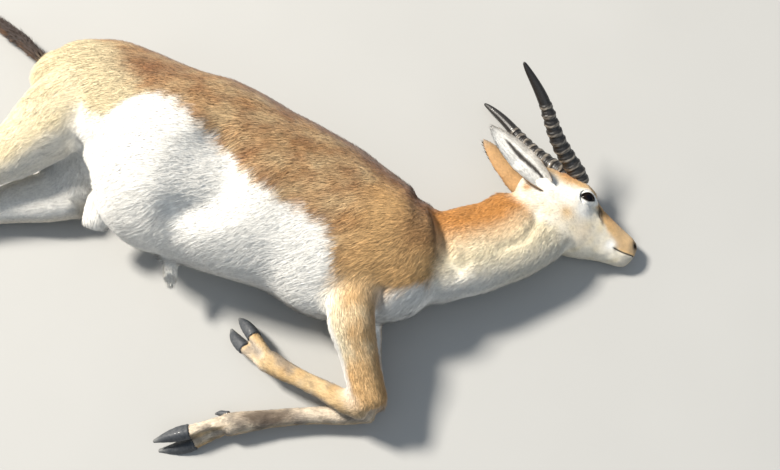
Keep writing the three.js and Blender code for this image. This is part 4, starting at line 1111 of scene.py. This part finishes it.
# Length in mm, width in mm, tufts to the square mm and lift in degrees, for each kind of form.
HAIR = {
    "trunk": (17, 1.5, 0.2, 8), "neck": (14, 1.3, 0.26, 9), "head": (7, 1.1, 0.34, 11),
    "tail": (32, 2.0, 0.2, 16), "scrotum": (10, 1.3, 0.3, 12), "sheath": (20, 1.4, 0.6, 16),
    "foreleg_upper": (13, 1.2, 0.26, 9), "foreleg_cannon": (8, 1.1, 0.3, 9),
    "hindleg_upper": (14, 1.3, 0.22, 8), "hindleg_gaskin": (11, 1.2, 0.26, 8),
    "hindleg_cannon": (8, 1.1, 0.3, 9)}
table = np.array([HAIR[name] for name in KINDS], float)
hair = table[found["kind"]]
hair = eased(hair, edges, 0.5, 12)
on_face = smooth(-15, 15, local[:, 0]) * (found["kind"] == HEAD_K)
face_length = np.interp(local[:, 0], [0, 40, 70, 100, 140, 180, 225], [9, 8, 7, 5.5, 4, 3, 2.2])
ring = almond(local)[0]
face_length *= 0.45 + 0.55 * smooth(1.2, 2.6, ring)
face_length += 6 * near(local, (46, 52, 12), 16)
hair[:, 0] += (face_length - hair[:, 0]) * on_face
hair[:, 1] += (0.45 + 0.095 * face_length - hair[:, 1]) * on_face
hair[:, 2] += (0.34 + 0.3 * smooth(90, 190, local[:, 0]) - hair[:, 2]) * on_face
bare = (ring < 1.28) & (np.abs(local[:, 2]) > 15)
bare |= (np.abs(local[:, 1] - lip_height(local[:, 0])) < 1.6) & (local[:, 0] > 179)
bare |= np.linalg.norm(mirrored(local) - NOSTRIL_AT, axis=1) < 5.5
bare |= (local[:, 0] > 221) & (local[:, 1] > -14)
hair[:, 2] *= ~(bare & (found["kind"] == HEAD_K))
belly = np.abs(found["angle"] - np.pi) < 0.8
hair[:, 0] *= 1 + 0.2 * (belly & (found["kind"] == TRUNK_K)) + 0.3 * (belly & (found["kind"] == NECK_K))


def sow(points, corners, density):
    """Roots on the triangles: a drawn number for each by its area and density, and the shares of
    its three corners, drawn evenly over the triangle."""
    a, b, c = (points[corners[:, k]] for k in range(3))
    area = 0.5 * np.linalg.norm(np.cross(b - a, c - a), axis=1)
    picked = np.repeat(np.arange(len(corners)), draw.poisson(area * density[corners].mean(axis=1)))
    share = draw.random((len(picked), 2))
    share = np.where(share.sum(axis=1, keepdims=True) > 1, 1 - share, share)
    return corners[picked], np.column_stack([1 - share.sum(axis=1), share])


def at_roots(values, picked, share):
    """Values of the corners, blended by their shares."""
    return np.einsum("nk,nkc->nc", share, values[picked])


def grow(name, root, out, way, sizes, colour, place, slot="coat", rings=1):
    """Closed pointed tufts: a flat triangle at the root, sunk by 0.8 mm, drawn out to a tip. With
    two rings the tuft lifts at its root and bends down again towards the tip. With one ring it
    is shaded by the skin's own normal, a little tilted, as a lock of many fine hairs is. Its
    patch on the unwrap is 0.003 across, at the root's place."""
    count = len(root)
    length, width, lift = (sizes[:, k:k + 1] for k in range(3))
    way = unit(way - out * np.sum(way * out, axis=1, keepdims=True))
    beside = np.cross(out, way)
    steps = np.arange(rings + 1) / rings
    spine = [root + length * (f * np.cos(lift) * way + np.sin(lift) * f * (1 - 0.45 * f * (rings - 1)) * out)
             for f in steps]
    shape = []
    for k in range(rings):
        thin = width * (1 - 0.25 * k)
        base = spine[k] - out * (ROOT_SUNK if k == 0 else 0.0)
        ridge = base + out * (thin * 0.16 + 0.4 * (k == 0))
        shape += [base + beside * thin / 2, base - beside * thin / 2, ridge]
    shape.append(spine[-1])
    shape = np.stack(shape, axis=1)
    shape[..., 2] = np.maximum(shape[..., 2], TUFT_LOWEST)
    first = [[0, 1, 2]]
    for k in range(rings - 1):
        for a, b in ((0, 1), (1, 2), (2, 0)):
            first += [[3 * k + a, 3 * k + 3 + b, 3 * k + b], [3 * k + a, 3 * k + 3 + a, 3 * k + 3 + b]]
    end = 3 * rings - 3
    first += [[end + a, end + 3, end + b] for a, b in ((0, 1), (1, 2), (2, 0))]
    verts = 3 * rings + 1
    faces = (np.array(first)[None] + np.arange(count)[:, None, None] * verts).reshape(-1, 3)
    mesh = new_mesh(name, shape.reshape(-1, 3), faces)
    tilt = unit(out + beside * draw.normal(0, 0.16, (count, 1)) + way * draw.normal(0, 0.1, (count, 1)))
    # Darker at each tuft's root, lighter at its tip: partly the hair's own colour, partly painted shade deep
    # in the coat.
    shade = np.append(np.repeat(np.linspace(0.86, 0.98, rings), 3), 1.08)
    write_colour(mesh, (colour[:, None] * shade[None, :, None]).reshape(-1, 3))
    spot = np.tile([[-1, -1], [1, -1], [0, 0]], (rings, 1)) * 1.0
    spot[:, 1] += np.repeat(np.arange(rings) * 0.8, 3)
    spot = np.vstack([spot, [0, 1]]) * (PATCH / 2)
    uv = (place[:, None] + spot[None]).reshape(-1, 2)
    mesh.uv_layers.new(name="OFBake").data.foreach_set("uv", uv[faces.ravel()].astype(np.float32).ravel())
    mesh.materials.append(coat_finish)
    piece = new_piece(name, mesh, slot=slot)
    if rings == 1:
        mesh.normals_split_custom_set_from_vertices(np.repeat(tilt, verts, axis=0))
    return piece


picked, share = sow(points, corners, hair[:, 2])
root = at_roots(points, picked, share)
out = unit(at_roots(normals, picked, share))
way = at_roots(lie, picked, share)
sizes = at_roots(hair[:, [0, 1, 3]], picked, share)
tint = at_roots(colour, picked, share)
some = np.arange(len(picked)), draw.integers(0, 3, len(picked))
nearest = picked[some]
tint += 0.5 * (colour[nearest] - tint)
kind, form, side = (found[key][nearest] for key in ("kind", "form", "side"))
t, angle = found["t"][nearest], found["angle"][nearest]
swirl = ripple(root, 90, 11)[:, None] * 0.25 + ripple(root, 26, 12)[:, None] * 0.2
beside = np.cross(out, unit(way))
way = unit(way) + beside * (swirl + draw.normal(0, 0.13, (len(root), 1)))
sizes[:, 0] *= draw.uniform(0.75, 1.2, len(root))
sizes[:, 1] *= draw.uniform(0.7, 1.25, len(root))
sizes[:, 2] = np.radians(sizes[:, 2] * draw.uniform(0.6, 1.5, len(root)))
white = smooth(0.35, 0.75, tint[:, 2:])
clump = ripple(root, 9, 31)[:, None]
tint *= np.exp(draw.normal(0, 0.05 + 0.13 * (1 - white)) + clump * (0.03 + 0.07 * (1 - white)))
a = np.abs(np.degrees((angle + np.pi) % (2 * np.pi) - np.pi))
chance = 0.34 * smooth(0.12, 0.32, t) * (1 - smooth(0.72, 0.9, t))
grizzled = (kind == TRUNK_K) & (draw.random(len(root)) < chance) & (white[:, 0] < 0.2)
tint[grizzled] *= 0.5


def unwrapped(chosen):
    """Each root's place on an unwrap of its piece: every form has its own square cell, and there
    across it is the place along the form, and upwards the turn round it."""
    cells, number = np.unique(form[chosen], return_inverse=True)
    side = int(np.ceil(np.sqrt(len(cells))))
    across = t[chosen] + (share[chosen, 0] - 0.33) * 0.004
    upward = angle[chosen] / (2 * np.pi)
    low, high = np.array([across.min(), upward.min()]), np.array([across.max(), upward.max()])
    flat = (np.column_stack([across, upward]) - low) / np.maximum(high - low, 1e-6)
    return (np.column_stack([number % side, number // side]) + 0.03 + 0.94 * flat) / side


LIMB_K = [KINDS.index(k) for k in KINDS if "leg" in k]
LONG_K = [TAIL_K, KINDS.index("sheath")]
trunk = kind == TRUNK_K
hind = np.isin(kind, [k for k in LIMB_K if "hind" in KINDS[k]])
COATS = {
    "coat_rump": trunk & (t < 0.3), "coat_belly": trunk & (t >= 0.3) & (t < 0.52),
    "coat_ribs": trunk & (t >= 0.52) & (t < 0.74), "coat_shoulder": trunk & (t >= 0.74),
    "coat_neck": kind == NECK_K, "coat_face": kind == HEAD_K,
    "coat_forelegs": np.isin(kind, [k for k in LIMB_K if "fore" in KINDS[k]]),
    "coat_hindleg_right": hind & (side > 0), "coat_hindleg_left": hind & (side < 0),
    "coat_scrotum": kind == KINDS.index("scrotum")}
for name, chosen in COATS.items():
    chosen = np.flatnonzero(chosen)
    grow(name, root[chosen], out[chosen], way[chosen], sizes[chosen], tint[chosen], unwrapped(chosen))
chosen = np.flatnonzero(np.isin(kind, LONG_K))
grow("coat_tail", root[chosen], out[chosen], way[chosen], sizes[chosen], tint[chosen], unwrapped(chosen),
     slot="tail_hair", rings=2)

# The ears' own hair: a close short pile on the backs, and longer white hair in the cup, longest
# where it fringes the opening.
for name, ear in ear_sheets.items():
    back, cup, back_colour, cup_colour, flat_s, flat_q, ear_way, (rows, columns) = ear
    for sheet, shade, inside in ((back, back_colour, False), (cup, cup_colour, True)):
        i, j = np.meshgrid(np.arange(rows - 1), np.arange(columns - 1), indexing="ij")
        n = (i * columns + j).ravel()
        sheet_faces = np.vstack([np.stack([n, n + 1, n + columns + 1], -1),
                                 np.stack([n, n + columns + 1, n + columns], -1)])
        grid = sheet.reshape(rows, columns, 3)
        along, around = np.gradient(grid, axis=0), np.gradient(grid, axis=1)
        face_out = unit(np.cross(around, along)).reshape(-1, 3)
        face_out *= -1 if inside else 1
        edge = smooth(0.75, 1.0, np.abs(flat_q))
        where, part = sow(sheet, sheet_faces, 0.34 + 0.2 * edge)
        base, up = at_roots(sheet, where, part), unit(at_roots(face_out, where, part))
        size = np.column_stack([(5 + 4 * edge * inside + 2.5 * inside)[where[:, 0]], np.full(len(base), 1.0),
                                np.full(len(base), np.radians(14 if inside else 10))])
        size *= draw.uniform(0.75, 1.25, size.shape)
        flow = np.tile(ear_way, (len(base), 1)) + draw.normal(0, 0.16, base.shape)
        hue = at_roots(shade, where, part) * np.exp(draw.normal(0, 0.1, (len(base), 1)))
        spot = at_roots(np.column_stack([flat_s, flat_q * 0.5 + 0.5]), where, part) * 0.94 + 0.03
        grow(f"coat_ear_{name}_{'cup' if inside else 'back'}", base, up, flow, size, hue, spot)


# The camera stands over the animal's belly side and looks down along the slope of its view, as
# the photo does. A pale floor lies under the model, and a large soft light stands at upper left.
camera = bpy.data.objects.new("camera", bpy.data.cameras.new("camera"))
bpy.context.scene.collection.objects.link(camera)
camera.location = (0.33938, -0.75734, 1.589)
camera.rotation_euler = (np.radians(24), 0, 0)
camera.data.sensor_fit = "HORIZONTAL"
camera.data.angle = np.radians(46)
bpy.context.scene.camera = camera

floor_mesh = bpy.data.meshes.new("floor")
floor_mesh.from_pydata([(-6, -6, -0.0005), (6, -6, -0.0005), (6, 6, -0.0005), (-6, 6, -0.0005)], [],
                       [(0, 1, 2, 3)])
floor_finish, tree, shader = start_material("pale_floor", 0.9)
place = add_node(tree, "ShaderNodeTexCoord")
noise = add_node(tree, "ShaderNodeTexNoise", Scale=3.0, Detail=2.0)
ramp = add_node(tree, "ShaderNodeValToRGB")
ramp.color_ramp.elements[0].color = (0.37, 0.37, 0.36, 1)
ramp.color_ramp.elements[1].color = (0.40, 0.40, 0.39, 1)
tree.links.new(place.outputs["Object"], noise.inputs["Vector"])
tree.links.new(noise.outputs["Fac"], ramp.inputs["Fac"])
tree.links.new(ramp.outputs["Color"], shader.inputs["Base Color"])
floor_mesh.materials.append(floor_finish)
floor_piece = bpy.data.objects.new("floor", floor_mesh)
bpy.context.scene.collection.objects.link(floor_piece)


def aimed_light(name, place, target, size, power, colour):
    """A square area light at a place, turned to shine at the target."""
    data = bpy.data.lights.new(name, "AREA")
    data.size = size
    data.energy = power
    data.color = colour
    lamp = bpy.data.objects.new(name, data)
    lamp.location = place
    way = Vector(target) - Vector(place)
    lamp.rotation_euler = way.to_track_quat("-Z", "Y").to_euler()
    bpy.context.scene.collection.objects.link(lamp)
    return lamp


aimed_light("soft_key", (-7.2, 4.2, 8.6), (0, 0, 0.1), 2.2, 3450, (1.0, 0.94, 0.85))
aimed_light("wide_fill", (1.6, -1.8, 2.6), (0, 0, 0.1), 2.6, 16, (0.82, 0.91, 1.0))
world = bpy.data.worlds.new("pale_room")
world.use_nodes = True
world.node_tree.nodes["Background"].inputs["Color"].default_value = (0.78, 0.88, 1.0, 1)
world.node_tree.nodes["Background"].inputs["Strength"].default_value = 0.4
bpy.context.scene.world = world
bpy.context.scene.view_settings.view_transform = "Standard"
